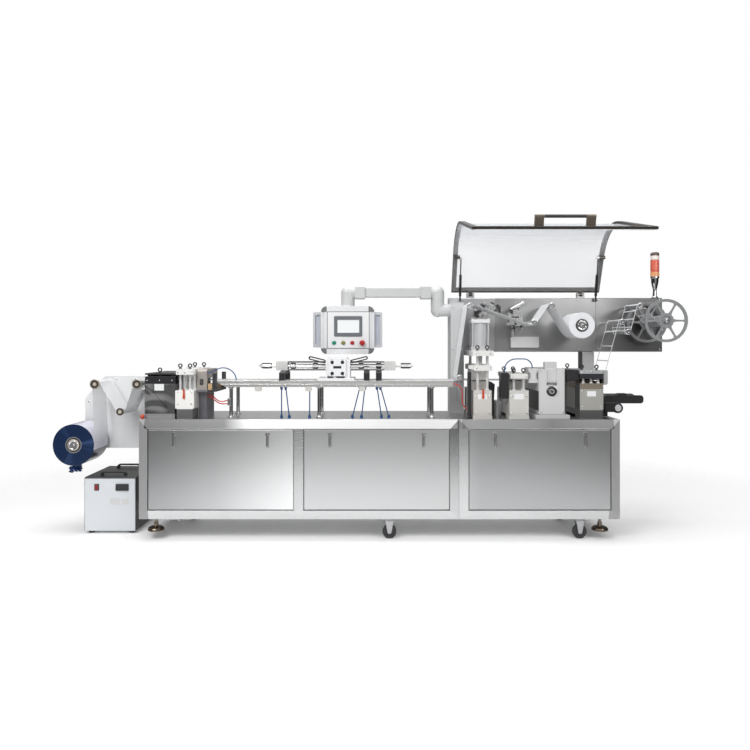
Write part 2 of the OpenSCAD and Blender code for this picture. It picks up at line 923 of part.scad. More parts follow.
// Two columns along the line, in front of and behind the film
function column_places(middle, inset) = [
    for (side = [-1, 1])
        for (y = [station_front + inset, station_back - inset])
            [middle + side * column_spacing / 2, y]
];
forming_rods = column_places(forming_x + 60, 40);
forming_posts = column_places(forming_x + 78, web_low - 22 - station_front);
sealing_columns = column_places(sealing_x + 72, block_middle);
cooling_columns = column_places(cooling_x + 76, block_middle);
cutting_pins = [
    for (x = [33, 88, 139])
        for (y = [station_front + 30, station_back - 30])
            [cutting_x + x, y]
];

forming_cap = table_height + 312;
sealing_mid = table_height + 340;
sealing_cap = table_height + 445;
cooling_cap = table_height + 285;
cutting_top = table_height + 250;
cutting_cap = table_height + 284;
mid_plate = 40;
cap_plate = 38;

module guide_columns() {
    color("gainsboro") {
        columns(forming_rods, block_top, forming_cap, column_radius - 2);
        columns(forming_posts, block_top, forming_cap, post_radius);
        columns(sealing_columns, block_top, sealing_mid, column_radius);
        columns(sealing_columns, sealing_mid + mid_plate, sealing_cap, column_radius);
        columns(cooling_columns, block_top, cooling_cap, column_radius);
        columns(cutting_pins, cutting_top, cutting_cap, column_radius - 2);
    }
}

// Columns with a collar at the foot
module columns(places, low, high, r) {
    for (p = places)
        turned_z([p[0], p[1], low], [
            [0, 0], [r + 5, 0], [r + 5, 7], [r + 3, 9], [r, 9], [r, high - low], [0, high - low]
        ]);
}

// Cap plate of a station with cut edges
module station_cap(x0, x1, low, high) {
    plate_xz(station_front, station_back)
        polygon(chamfered([x0, low], [x1, high], 3));
}

// Die above the film, up to the plate that carries it
module upper_die(x0, x1, top) {
    slab([x0, web_low - 16, web_z + die_gap], [x1, web_high + 16, top + 0.1]);
}

module forming_head() {
    x1 = forming_x + forming_length - 3;
    arch_top = forming_cap + 36;
    color("darkgrey") {
        station_cap(forming_x + 5, x1, forming_cap, forming_cap + 40);
        slab([forming_x + 20, web_low, web_z + die_gap], [x1 - 6, web_high, forming_cap + 0.1]);
        difference() {
            beam_x(forming_arch, forming_arch + forming_arch_length)
                polygon([
                    [arch_front, forming_base + 14], [arch_front, arch_top - 14], [arch_front + 14, arch_top],
                    [arch_back - 14, arch_top], [arch_back, arch_top - 14], [arch_back, forming_base + 14],
                    [arch_back - arch_wall, forming_base + 14], [arch_back - arch_wall, web_z + 16],
                    [arch_front + arch_wall, web_z + 16], [arch_front + arch_wall, forming_base + 14]
                ]);
            plate_xz(arch_front - 1, arch_back + 1)
                rounded([forming_arch + 18, web_z - 34], [forming_arch + 46, web_z + 12], 8);
        }
    }
    color("dimgrey")
        for (p = forming_rods)
            eyebolt(p[0], p[1], forming_cap + 40);
}

// Rail with a film channel, side grooves and a tapered left end
module film_track() {
    low = track_low;
    high = track_high;
    top = track_top;
    base = top - track_thickness;
    pockets = floor(track_length / 78);
    color("gainsboro")
        difference() {
            beam_x(track_x, track_x + track_length)
                polygon([
                    [low, base], [low + 40, base], [low + 40, base + 8], [high - 40, base + 8],
                    [high - 40, base],
                    [high, base], [high, top - 24], [high - 5, top - 24], [high - 5, top - 16],
                    [high, top - 16],
                    [high, top], [web_high - 20, top], [web_high - 20, top - 18],
                    [web_low + 20, top - 18], [web_low + 20, top], [low, top],
                    [low, top - 16], [low + 5, top - 16], [low + 5, top - 24], [low, top - 24]
                ]);
            plate_xz(low - 1, high + 1)
                polygon([[track_x - 1, base - 1], [track_x + 60, base - 1], [track_x - 1, top - 15]]);
            for (i = [0 : pockets - 1])
                for (y = [low + 6, high - 18])
                    slab([track_x + 20 + i * 78, y, top - 2], [track_x + 66 + i * 78, y + 12, top + 1]);
        }
}

leg_places = [track_x + first_leg, track_x + second_leg, track_x + third_leg];

leg_rows = [track_low + 35, track_high - 35];

module track_legs() {
    color("silver") {
        for (x = leg_places)
            for (y = leg_rows)
                track_leg([x, y, table_height], track_top - track_thickness - table_height);
        slab(
            [leg_places[0] - 23, leg_rows[0] - 17, table_height + 85],
            [leg_places[0], leg_rows[0] + 17, table_height + 135]
        );
    }
}

// Round post with a flange at each end
module track_leg(place, height) {
    r = leg_width / 2;
    turned_z(place, [
        [0, 0], [r + 11, 0], [r + 11, 6], [r + 2, 9], [r, 9], [r, height - 9], [r + 2, height - 9],
        [r + 9, height - 6], [r + 9, height], [0, height]
    ]);
}

feeder_low = web_z + 6;
rail_low = web_z + 70;
rail_high = web_z + 137;
rail_middle = (rail_low + rail_high) / 2;
rail_end = 357;
rail_block = 84;
feeder_left = feeder_x - 72;
feeder_right = feeder_x + 107;

// Feeder body with a stepped top, a front cover and a flange on the track
module feeder_block() {
    low = track_low;
    high = track_high;
    top = hmi_low - 20;
    color("whitesmoke") {
        plate_xz(line_y - 90, line_y + 90)
            polygon([
                [feeder_left, feeder_low + 10], [feeder_right, feeder_low + 10],
                [feeder_right, rail_high + 8],
                [feeder_right - 22, rail_high + 20], [feeder_right - 22, top], [feeder_left + 16, top],
                [feeder_left + 16, rail_high + 20], [feeder_left, rail_high + 8]
            ]);
        difference() {
            plate_xz(line_y - 104, line_y - 89.9)
                rounded([feeder_left + 22, feeder_low + 24], [feeder_right - 30, top - 10], 12);
            for (x = [feeder_left + 48, feeder_right - 56])
                for (z = [rail_low - 20, rail_high - 6])
                    bar_y(x, line_y - 105, line_y - 96, z, 13);
            slab(
                [feeder_left + 56, line_y - 105, rail_low + 16],
                [feeder_right - 64, line_y - 97, rail_low + 34]
            );
        }
        slab([feeder_x - 128, low, feeder_low], [feeder_x + 140, high, feeder_low + 10.1]);
        for (y = [low, high - 24])
            slab([feeder_x - 128, y, track_top], [feeder_x + 140, y + 24, feeder_low + 0.1]);
    }
}

// Two ladder rails with round shafts, end blocks and knobs
module feeder_rails() {
    color("lightgrey")
        for (side = [-1, 1])
            translate([feeder_x, 0, 0])
                mirror([side > 0 ? 0 : 1, 0, 0]) {
                    start = side > 0 ? feeder_right - feeder_x : feeder_x - feeder_left;
                    for (z = [rail_low, rail_high - 12])
                        slab([start, line_y - 45, z], [rail_end + 0.1, line_y + 45, z + 12]);
                    for (y = [line_y - 28, line_y + 28])
                        bar_x(start, rail_end + 0.1, y, rail_middle, 13);
                    for (x = [start + 60, rail_end - 60])
                        turned_x([x, line_y - 28, rail_middle], [
                            [0, 0], [17, 0], [21, 4], [21, 36], [17, 40], [0, 40]
                        ]);
                    plate_xz(line_y - 60, line_y + 60)
                        polygon(chamfered([rail_end, rail_low], [rail_end + rail_block, rail_high], 5));
                    feeder_knob(rail_end + rail_block);
                }
}

// Pointed adjusting knob on the outer face of an end block
module feeder_knob(x) {
    turned_x([x - 0.1, line_y, rail_middle], [
        [0, 0], [11, 0], [11, 38], [17, 40], [21, 46], [21.5, 80], [21, 104], [17, 116], [11, 120],
        [4, 138], [0, 139]
    ]);
}

// Deep post beside the foil web, flush with the panel above
module left_column() {
    shoulder = panel_top - 45;
    color("whitesmoke") {
        difference() {
            slab([column_x, column_front, table_height], [column_end, panel_back, shoulder]);
            plate_xz(column_front - 1, column_front + 2)
                polygon(chamfered([column_x + 8, table_height + 10], [column_end - 8, panel_z - 14], 4));
            slab(
                [column_x + 40, column_front - 1, table_height + 90],
                [column_x + 54, column_front + 9, panel_z - 120]
            );
        }
        slab([column_x, panel_y, shoulder - 0.1], [column_end, panel_back, panel_top]);
        strut_bracket(guard_x + strut_inset);
    }
}

module right_column() {
    x = panel_x + right_column_offset;
    front = panel_y - 25;
    color("grey")
        difference() {
            slab([x, front, table_height], [x + column_width, panel_back, panel_z]);
            plate_xz(front - 1, front + 2)
                polygon(chamfered([x + 8, table_height + 10], [x + column_width - 8, panel_z - 10], 4));
        }
}

panel_cut = 6;

// Housing that carries the foil roll, the reel, the guard and its right strut
module upper_panel() {
    color("dimgrey") {
        difference() {
            beam_x(column_end, panel_x + panel_length)
                polygon(chamfered([panel_y, panel_z], [panel_back, panel_top], panel_cut));
            for (x = [column_end + 260, panel_x + right_column_offset + column_width + 20])
                slab([x, panel_y - 1, panel_z - 1], [x + 3, panel_y + 2, panel_top + 1]);
        }
        for (x = [guard_x + 120, guard_x + guard_length - 180])
            guard_hinge_leaf(x);
        strut_bracket(guard_x + guard_length - strut_inset);
    }
}

hinge_pin_radius = 8;
hinge_clearance = 0.3;

module guard_hinge_leaf(x) {
    slab([x, guard_y - 12, panel_top - panel_cut - 0.1], [x + 60, guard_y + 9, guard_z - 14]);
    for (dx = [0, 45])
        beam_x(x + dx, x + dx + 15) {
            translate([guard_y, guard_z])
                circle(14);
            polygon([
                [guard_y - 12, panel_top], [guard_y + 9, panel_top],
                [guard_y + 12, guard_z - 6], [guard_y - 12, guard_z - 6]
            ]);
        }
    bar_x(x, x + 60, guard_y, guard_z, hinge_pin_radius);
}

strut_pin_radius = 4;
strut_eye = 14;
strut_cheek = 5;

// Two cheeks and a pin for the lower end of a strut
module strut_bracket(x) {
    reach = panel_y - guard_y + strut_low[0];
    inner = strut_eye / 2 + 1;
    translate([x, guard_y - strut_low[0], guard_z + strut_low[1]]) {
        for (side = [0, 1])
            mirror([side, 0, 0])
                beam_x(inner, inner + strut_cheek) {
                    circle(11);
                    polygon([[0, -11], [reach + 0.1, -16], [reach + 0.1, 12], [0, 11]]);
                }
        bar_x(-inner - strut_cheek, inner + strut_cheek, 0, 0, strut_pin_radius);
    }
}

module sealing_blocks() {
    color("rosybrown")
        station_blocks(sealing_x, sealing_length, block_top, 18, -4);
    color("dimgrey")
        station_bed(sealing_x + 4, sealing_x + sealing_length - 4);
}

cylinder_x = sealing_x + 78;

module sealing_plates() {
    x1 = sealing_x + sealing_length;
    color("silver") {
        station_cap(sealing_x + 6, x1 + 4, sealing_mid, sealing_mid + mid_plate);
        upper_die(sealing_x + 12, x1 - 6, sealing_mid);
        station_cap(sealing_x - 7, x1 + 15, sealing_cap, sealing_cap + cap_plate);
        bar_z(cylinder_x, line_y, sealing_mid + mid_plate - 0.1, sealing_cap + 0.1, 22);
        plate_xz(station_front + 30, station_front + 84)
            polygon([
                [sealing_x - 28, sealing_mid + 14], [sealing_x + 7, sealing_mid + 6],
                [sealing_x + 7, sealing_mid + mid_plate - 3], [sealing_x - 28, sealing_mid + mid_plate - 3]
            ]);
        for (p = sealing_columns)
            eyebolt(p[0], p[1], sealing_cap + cap_plate);
    }
}

cylinder_height = 232;
cylinder_plate = 27;

// Air cylinder with square caps and tie rods, and the lift cylinder under the film
module sealing_cylinder() {
    half = cylinder_cap / 2;
    tie = half - 12;
    color("gainsboro") {
        translate([cylinder_x, line_y, sealing_cap + cap_plate]) {
            for (z = [0, cylinder_height - cylinder_plate])
                translate([0, 0, z])
                    linear_extrude(cylinder_plate)
                        rounded([-half, -half], [half, half], 8);
            cylinder(h = cylinder_height - 1, r = cylinder_radius);
            for (x = [-tie, tie])
                for (y = [-tie, tie])
                    translate([x, y, 0]) {
                        cylinder(h = cylinder_height, r = 6);
                        translate([0, 0, cylinder_height - 0.1])
                            cylinder(h = 9, r = 10, $fn = 6);
                    }
            turned_z([0, 0, cylinder_height - 0.1], [[0, 0], [24, 0], [24, 4], [20, 8], [0, 8]]);
        }
        turned_z([sealing_x + 209, line_y, table_height], [
            [0, 0], [36, 0], [36, 96], [33, 106], [24, 113], [12, 116], [0, 116]
        ]);
    }
}

module cooling_blocks() {
    color("linen")
        station_blocks(cooling_x, cooling_length, block_top, 18, -4);
    color("dimgrey")
        station_bed(cooling_x + 4, cooling_x + cooling_length - 4);
}

module cooling_plate() {
    x1 = cooling_x + cooling_length;
    color("silver") {
        station_cap(cooling_x + 7, x1 - 7, cooling_cap, cooling_cap + 34);
        upper_die(cooling_x + 12, x1 - 12, cooling_cap);
        for (p = cooling_columns)
            eyebolt(p[0], p[1], cooling_cap + 34);
    }
}

traction_top = table_height + 353;
dial_place = [traction_x + 96, table_height + 189];
dial_radius = 37;

// Box round the film with a dial, a slot, an inset and a spool-shaped side body
module traction_housing() {
    x1 = traction_x + traction_length;
    back = station_back - 20;
    spool = web_low - 84;
    color("lightgrey") {
        difference() {
            union() {
                slab(
                    [traction_x - 24, station_front - 10, table_height],
                    [x1 + 31, station_back, table_height + 26]
                );
                slab(
                    [traction_x + 6, station_front + 6, table_height + 25.9],
                    [x1 - 6, back - 6, table_height + 34]
                );
                translate([0, 0, table_height + 30])
                    linear_extrude(traction_top - table_height - 30)
                        polygon(chamfered([traction_x, station_front], [x1, back], 7));
            }
            slab([traction_x - 1, web_low - 10, web_z - 8], [x1 + 1, web_high + 10, web_z + 8]);
            slab(
                [traction_x + 61, station_front - 1, web_z - 9],
                [traction_x + 129, station_front + 6, traction_top + 1]
            );
            slab(
                [traction_x + 61, station_front - 1, web_z - 31],
                [traction_x + 129, station_front + 22, web_z - 11]
            );
        }
        turned_y([dial_place[0], station_front - 12, dial_place[1]], [
            [0, 0], [10, 0], [12, 3], [dial_radius - 6, 3], [dial_radius, 7], [dial_radius + 7, 9],
            [dial_radius + 7, 12.1], [0, 12.1]
        ]);
        plate_xz(station_front + 40, station_front + 90)
            polygon(chamfered(
                [traction_x + 54, traction_top - 0.1],
                [traction_x + 138, traction_top + 50],
                4
            ));
        plate_xz(spool, spool + 74)
            polygon([
                [traction_x + 0.1, traction_top + 3], [traction_x - 66, traction_top + 3],
                [traction_x - 66, traction_top - 18], [traction_x - 52, traction_top - 34],
                [traction_x - 52, traction_top - 62], [traction_x - 66, traction_top - 78],
                [traction_x - 66, traction_top - 100], [traction_x + 0.1, traction_top - 100],
                [traction_x + 0.1, traction_top - 80], [traction_x - 10, traction_top - 62],
                [traction_x - 10, traction_top - 34], [traction_x + 0.1, traction_top - 20]
            ]);
    }
}

module cutting_blocks() {
    color("linen")
        station_blocks(cutting_x, cutting_length, cutting_top, 62, 3);
    color("dimgrey")
        station_bed(cutting_x + 4, cutting_x + cutting_length - 4);
}

cutting_body = 36;
cutting_plate = 23;

// Die body under a cap plate, with a round-cornered end plate
module cutting_head() {
    x1 = cutting_x + cutting_length;
    top = cutting_cap + cutting_body + cutting_plate;
    low = cutting_cap - 44;
    reach = 37;
    corner = 15;
    color("silver") {
        station_cap(cutting_x + 4, x1 - 4, cutting_cap, cutting_cap + cutting_body + 0.1);
        station_cap(cutting_x, x1, cutting_cap + cutting_body, top);
        upper_die(cutting_x + 10, x1 - 10, cutting_cap);
        plate_xz(station_front + 14, station_front + 90) {
            translate([x1, low + corner])
                square([reach, top - low - corner]);
            translate([x1, low])
                square([reach - corner, corner + 1]);
            translate([x1 + reach - corner, low + corner])
                circle(corner);
        }
        for (x = [31, 137])
            for (y = [station_front + block_middle, station_back - block_middle])
                eyebolt(cutting_x + x, y, top);
    }
}

outfeed_low = table_height + 96;
outfeed_high = table_height + 156;
outfeed_end = cutting_x + cutting_length + 345;

// Belt bed between two round-ended side rails, a geared motor and a leg
module outfeed_chute() {
    x0 = cutting_x + cutting_length + 57;
    motor = [cutting_x + cutting_length + 155, table_height + 63];
    color("black") {
        for (y = [line_y - 90, line_y + 80])
            plate_xz(y, y + 10)
                rounded([x0, outfeed_low], [outfeed_end, outfeed_high], 22);
        plate_xz(line_y - 80.1, line_y + 80.1)
            rounded([x0 + 8, outfeed_low + 8], [outfeed_end - 4, outfeed_high - 6], 20);
        plate_xz(line_y - 90, line_y - 50)
            polygon([
                [x0 + 93, outfeed_high - 1], [x0 + 168, outfeed_high - 1],
                [x0 + 158, outfeed_high + 14], [x0 + 103, outfeed_high + 14]
            ]);
        plate_xz(line_y - 96, line_y + 50) {
            translate(motor)
                circle(38);
            translate([motor[0] - 91, motor[1] - 30])
                square([91, 68]);
        }
        turned_y([motor[0], line_y - 104, motor[1]], [[0, 0], [22, 0], [26, 4], [26, 8.1], [0, 8.1]]);
        slab([x0 + 6, line_y - 60, table_height], [x0 + 36, line_y + 60, outfeed_low + 20]);
    }
}

// Foil roller places from the lower left corner of the panel
unwind_roller = [694, 339];
tension_roller = [565, 216];
corner_roller = [101, 339];
laying_roller = 24;
foil_z = web_z + web_thickness + 0.5;
foil_rollers_at = [
    [panel_x + unwind_roller[0], panel_z + unwind_roller[1], foil_roller_radius, 1],
    [panel_x + tension_roller[0], panel_z + tension_roller[1], foil_roller_radius, -1],
    [panel_x + corner_roller[0], panel_z + corner_roller[1], foil_roller_radius, 1],
    [
        panel_x + laying_roller, foil_z + web_thickness / 2 + web_gap + foil_roller_radius,
        foil_roller_radius, 1
    ]
];
// Scrap roller places between the cutting station and the reel
first_scrap_roller = [1205, 222];
second_scrap_roller = [1249, 149];
third_scrap_roller = [1340, 339];
scrap_rollers_at = [
    [panel_x + first_scrap_roller[0], panel_z + first_scrap_roller[1], foil_roller_radius, -1],
    [panel_x + second_scrap_roller[0], panel_z + second_scrap_roller[1], foil_roller_radius, 1],
    [panel_x + third_scrap_roller[0], panel_z + third_scrap_roller[1], foil_roller_radius, -1]
];

module foil_rollers() {
    color("gainsboro")
        for (r = concat(foil_rollers_at, scrap_rollers_at))
            foil_roller(r, r[0] < column_end ? column_front : panel_y);
}

// Roller with a front cap, on a shaft from the panel or the column
module foil_roller(r, back) {
    tube = web_high + 4 - roller_front;
    end = back - roller_front;
    cap = foil_roller_radius + 3;
    turned_y([r[0], roller_front, r[1]], [
        [0, 2], [6, 2], [6, 0], [cap - 2, 0], [cap, 2], [cap, 10], [r[2], 14],
        [r[2], tube], [7, tube], [7, end], [0, end]
    ]);
}

foil_path = [
    [foil_roll_x, foil_roll_z, foil_roll_radius, -1],
    foil_rollers_at[0],
    foil_rollers_at[1],
    foil_rollers_at[2],
    foil_rollers_at[3],
    [sealing_x + 60, foil_z, 0, 1]
];

module foil_web() {
    color("white")
        web(foil_path, web_low, web_high);
}

scrap_path = [
    [cutting_x + cutting_length + 58, cutting_cap + 52, 0, 1],
    scrap_rollers_at[0],
    scrap_rollers_at[1],
    scrap_rollers_at[2],
    [reel_x, reel_z, spindle_radius + 12, 1]
];
scrap_strip = 10;
scrap_rungs = [0.2, 0.5, 0.8];

module scrap_web() {
    color("whitesmoke") {
        web(scrap_path, web_low, web_low + scrap_strip);
        web(scrap_path, web_high - scrap_strip, web_high);
        for (i = [0 : len(scrap_path) - 2])
            scrap_rungs_on(scrap_path[i], scrap_path[i + 1]);
    }
}

module scrap_rungs_on(a, b) {
    angle = run_angle(a, b);
    start = touch_point(a, angle);
    end = touch_point(b, angle);
    for (share = scrap_rungs)
        translate([start[0], web_low + 1, start[1]])
            rotate([0, -angle, 0])
                translate([share * norm(end - start) - 4, 0, -web_thickness / 2])
                    cube([8, film_width - 2, web_thickness]);
}

// Coder behind the foil: tilted body, cylinder, bracket, studs, and a terminal box
module coding_unit() {
    front = web_high + 10;
    color("slategrey") {
        translate([panel_x + 508, 0, panel_z + 271])
            rotate([0, -16, 0])
                plate_xz(front, panel_y)
                    polygon(chamfered([-27, -66], [27, 66], 5));
        translate([panel_x + 440, front + 50, panel_z + 316])
            rotate([0, -27, 0])
                turned_x(
                    [0, 0, 0],
                    [[0, 0], [17, 0], [17, 14], [14, 17], [14, 118], [18, 120], [18, 140], [0, 140]]
                );
        plate_xz(front + 20, panel_y)
            polygon([
                [panel_x + 424, panel_z + 199], [panel_x + 484, panel_z + 199],
                [panel_x + 484, panel_z + 310], [panel_x + 440, panel_z + 310]
            ]);
        slab([panel_x + 424, front + 10, panel_z + 199], [panel_x + 548, panel_y, panel_z + 207]);
        for (x = [502, 540])
            turned_z(
                [panel_x + x, front + 40, panel_z + 153],
                [[0, 0], [8, 0], [11, 4], [11, 40], [6, 46.1], [0, 46.1]]
            );
        slab([panel_x + 470, front + 60, panel_z + 117.9], [panel_x + 494, panel_y, panel_z + 199.1]);
        foil_guide(front + 14);
    }
    color("white")
        plate_xz(panel_y - 40, panel_y)
            polygon(chamfered([panel_x + 472, panel_z + 33], [panel_x + 690, panel_z + 118], 4));
}

// Bracket with two small rollers and an adjusting screw, left of the coder
module foil_guide(front) {
    low = panel_z + 262;
    plate_xz(panel_y - 12, panel_y)
        polygon([
            [panel_x + 190, low], [panel_x + 400, low + 40], [panel_x + 400, low + 96],
            [panel_x + 330, low + 128], [panel_x + 190, low + 100]
        ]);
    for (p = [[226, 62], [352, 92]])
        turned_y([panel_x + p[0], front, low + p[1]], [
            [0, 0], [12, 0], [15, 3], [15, panel_y - front - 30], [8, panel_y - front - 28],
            [8, panel_y - front - 11.9], [0, panel_y - front - 11.9]
        ]);
    slab([panel_x + 250, front + 20, low + 104], [panel_x + 322, panel_y - 11.9, low + 122]);
    turned_z(
        [panel_x + 300, front + 50, low + 30],
        [[0, 0], [9, 2], [12, 8], [9, 14], [4, 16], [4, 74.1], [0, 74.1]]
    );
}

lamp_place = [panel_x + panel_length - 40, panel_back - 40];
lamp_foot = panel_top + 171;

// Flared stem on a round foot
module signal_base() {
    rise = lamp_foot - panel_top;
    color("grey")
        turned_z([lamp_place[0], lamp_place[1], panel_top], [
            [0, 0], [26, 0], [26, 8], [17, 14], [14, 58], [14, 70], [18, 84], [26, 120],
            [lamp_radius - 4, rise - 14],
            [lamp_radius, rise - 10], [lamp_radius, rise], [0, rise]
        ]);
}

// Stacked lenses with grooves between them and a domed cap
module signal_lamp() {
    r = lamp_radius;
    g = r - 3;
    color("orangered")
        turned_z([lamp_place[0], lamp_place[1], lamp_foot], [
            [0, 0], [r, 0], [r, 41], [g, 43], [g, 45], [r, 47], [r, 126], [g, 128], [g, 130], [r, 132],
            [r, 162], [g, 164], [g, 166], [r, 168], [r, 184], [r - 8, 192], [r - 20, 195], [0, 195]
        ]);
}

// Round elbow of the arm from the column up to the swivel joint
module arm_bracket() {
    low = arm_joint_z - 66;
    color("lightgrey") {
        bar_z(arm_x, arm_y, low, arm_joint_z - arm_gap, elbow_radius);
        translate([arm_x, arm_y, low])
            sphere(elbow_radius);
        bar_x(arm_x, column_x - 11.9, arm_y, low, elbow_radius - 4);
        bar_x(column_x - 12, column_x, arm_y, low, elbow_radius);
    }
}

// Swivel arm: two round elbows, two square sleeves and the tube between them
module hmi_arm() {
    low = hmi_top + 10;
    sleeve = elbow_radius + 4;
    half = arm_sleeve / 2;
    color("lightgrey") {
        bar_z(hmi_x, arm_y, low, arm_z, elbow_radius);
        bar_z(arm_x, arm_y, arm_joint_z, arm_z, elbow_radius);
        for (x = [hmi_x, arm_x])
            translate([x, arm_y, arm_z])
                sphere(elbow_radius);
        bar_x(hmi_x, hmi_x + sleeve + 0.1, arm_y, arm_z, elbow_radius - 5);
        bar_x(arm_x - sleeve - 0.1, arm_x, arm_y, arm_z, elbow_radius - 5);
        for (x = [hmi_x + sleeve, arm_x - sleeve - 76])
            beam_x(x, x + 76)
                rounded([arm_y - half, arm_z - half], [arm_y + half, arm_z + half], 10);
        beam_x(hmi_x + sleeve + 70, arm_x - sleeve - 70)
            rounded(
                [arm_y - arm_tube / 2, arm_z - arm_tube / 2],
                [arm_y + arm_tube / 2, arm_z + arm_tube / 2],
                6
            );
    }
}

hmi_corner = 44;

// Operator box without its corner pieces, with grooved side profiles
module hmi_box() {
    half = hmi_width / 2;
    back = arm_y + hmi_depth / 2;
    color("lightgrey") {
        difference() {
            plate_xz(hmi_face, back) {
                translate([hmi_x - half + hmi_corner, hmi_low])
                    square([hmi_width - 2 * hmi_corner, hmi_height]);
                translate([hmi_x - half, hmi_low + hmi_corner])
                    square([hmi_width, hmi_height - 2 * hmi_corner]);
            }
            for (x = [hmi_x - half + 14, hmi_x + half - 26])
                slab(
                    [x, hmi_face - 1, hmi_low + hmi_corner - 1],
                    [x + 12, hmi_face + 5, hmi_top - hmi_corner + 1]
                );
            for (z = [hmi_low + hmi_corner - 3, hmi_top - hmi_corner])
                slab(
                    [hmi_x - half + hmi_corner, hmi_face - 1, z],
                    [hmi_x + half - hmi_corner, hmi_face + 3, z + 3]
                );
        }
        bar_z(hmi_x, arm_y, hmi_top - 0.1, hmi_top + 10 - arm_gap, elbow_radius);
    }
}

// Round corner pieces of the operator box
module hmi_trim() {
    color("dimgrey")
        for (side = [0, 1])
            for (end = [0, 1])
                translate([hmi_x, 0, (hmi_low + hmi_top) / 2])
                    mirror([side, 0, 0])
                        mirror([0, 0, end])
                            plate_xz(hmi_face, arm_y + hmi_depth / 2)
                                translate([hmi_width / 2 - hmi_corner, hmi_height / 2 - hmi_corner])
                                    intersection() {
                                        square(hmi_corner);
                                        circle(hmi_corner, $fn = 64);
                                    }
}

hmi_button_z = hmi_low + 86;

// Screen in a sunk bezel and four buttons
module hmi_screen() {
    bezel_low = [hmi_x - 103, hmi_low + 134];
    bezel_high = [hmi_x + 112, hmi_low + 290];
    color("darkslategrey")
        difference() {
            plate_xz(hmi_face - 6, hmi_face)
                rounded(bezel_low, bezel_high, 8);
            plate_xz(hmi_face - 7, hmi_face - 4)
                rounded(bezel_low + [26, 30], bezel_high - [24, 30], 3);
        }
    color("red") {
        for (x = [-103, -33, 36])
            turned_y(
                [hmi_x + x, hmi_face - 16, hmi_button_z],
                [[0, 0], [10, 0], [12, 2], [12, 10], [16, 12], [16, 16], [0, 16]]
            );
        turned_y([hmi_x + 112, hmi_face - 30, hmi_button_z], [
            [0, 0], [14, 1], [20, 5], [21, 12], [13, 16], [13, 24], [19, 26], [19, 30], [0, 30]
        ]);
    }
}

handle_reach = 62;
handle_depth = 26;
handle_y = hmi_face + 20;
handle_low = hmi_low + 50;
handle_high = hmi_top - 44;

// Side grab handles with a finger window
module hmi_handles() {
    color("dimgrey")
        for (side = [0, 1])
            translate([hmi_x, 0, 0])
                mirror([side, 0, 0])
                    plate_xz(handle_y, handle_y + handle_depth)
                        translate([hmi_width / 2, 0])
                            difference() {
                                rounded([-12, handle_low], [handle_reach, handle_high], 12);
                                rounded([6, handle_low + 22], [handle_reach - 16, handle_high - 22], 8);
                                translate([-13, handle_low - 1])
                                    square([13, handle_high - handle_low + 2]);
                            }
}

module chiller_case() {
    color("gainsboro")
        difference() {
            slab(
                [chiller_x + 3, chiller_y, 20],
                [chiller_x + chiller_width - 3, chiller_y + chiller_depth - 3, chiller_height - 10]
            );
            slab(
                [chiller_x + 60, chiller_y - 1, chiller_height - 112],
                [chiller_x + 250, chiller_y + 4, chiller_height - 40]
            );
        }
}

chiller_grip = 190;
chiller_grip_rise = 30;
chiller_grip_width = 24;

// Dark cover over top and sides, arched carry handles, feet, display and switch
module chiller_trim() {
    x1 = chiller_x + chiller_width;
    back = chiller_y + chiller_depth;
    middle = chiller_x + chiller_width / 2;
    color("black") {
        beam_x(chiller_x, x1)
            polygon([
                [chiller_y + 2, chiller_height - 10], [chiller_y + 10, chiller_height],
                [back, chiller_height],
                [back, 20], [back - 3, 20], [back - 3, chiller_height - 10]
            ]);
        for (x = [chiller_x, x1 - 3])
            slab([x, chiller_y + 2, 20], [x + 3, back, chiller_height - 9]);
        for (y = [chiller_y + 60, back - 60 - chiller_grip_width])
            plate_xz(y, y + chiller_grip_width)
                difference() {
                    rounded(
                        [middle - chiller_grip / 2, chiller_height - 30],
                        [middle + chiller_grip / 2, chiller_height + chiller_grip_rise], 24
                    );
                    rounded(
                        [middle - chiller_grip / 2 + 18, chiller_height - 30],
                        [middle + chiller_grip / 2 - 18, chiller_height + chiller_grip_rise - 10], 12
                    );
                    translate([middle - chiller_grip, chiller_height - 40])
                        square([2 * chiller_grip, 39.9]);
                }
        for (x = [chiller_x + 40, x1 - 40])
            for (y = [chiller_y + 40, back - 40])
                turned_z([x, y, 0], [[0, 0], [20, 0], [24, 20], [0, 20]]);
        plate_xz(chiller_y + 1, chiller_y + 4)
            rounded([chiller_x + 66, chiller_height - 106], [chiller_x + 244, chiller_height - 46], 6);
        slab([x1 - 80, chiller_y - 8, chiller_height - 90], [x1 - 52, chiller_y, chiller_height - 56]);
    }
}

// Roll of web on a core that fits its spindle
module web_roll(x, z, r) {
    width = web_high - web_low;
    bore = spindle_radius + spindle_clearance;
    turned_y([x, web_low, z], [
        [bore, -4], [bore + 9, -4], [bore + 9, 0], [r - 1, 0], [r, 1], [r, width - 1], [r - 1, width],
        [bore, width]
    ]);
}

module film_roll() {
    color("navy")
        web_roll(film_roll_x, film_roll_z, film_roll_radius);
}

module foil_roll() {
    color("ghostwhite")
        web_roll(foil_roll_x, foil_roll_z, foil_roll_radius);
}

reel_core_radius = spindle_radius + 5;
reel_hub = reel_core_radius + 14;
flange_thickness = 14;

module reel_core() {
    bore = reel_spindle + spindle_clearance;
    color("dimgrey")
        turned_y([reel_x, reel_front, reel_z], [
            [bore, 0], [bore + 8, 0], [bore + 10, 6], [reel_core_radius - 9, 6], [reel_core_radius - 6, 0],
            [reel_core_radius, 0], [reel_core_radius, reel_width], [bore, reel_width]
        ]);
}

module reel_flanges() {
    color("grey")
        for (y = [reel_front, reel_front + reel_width - flange_thickness])
            translate([reel_x, y, reel_z])
                reel_flange();
}

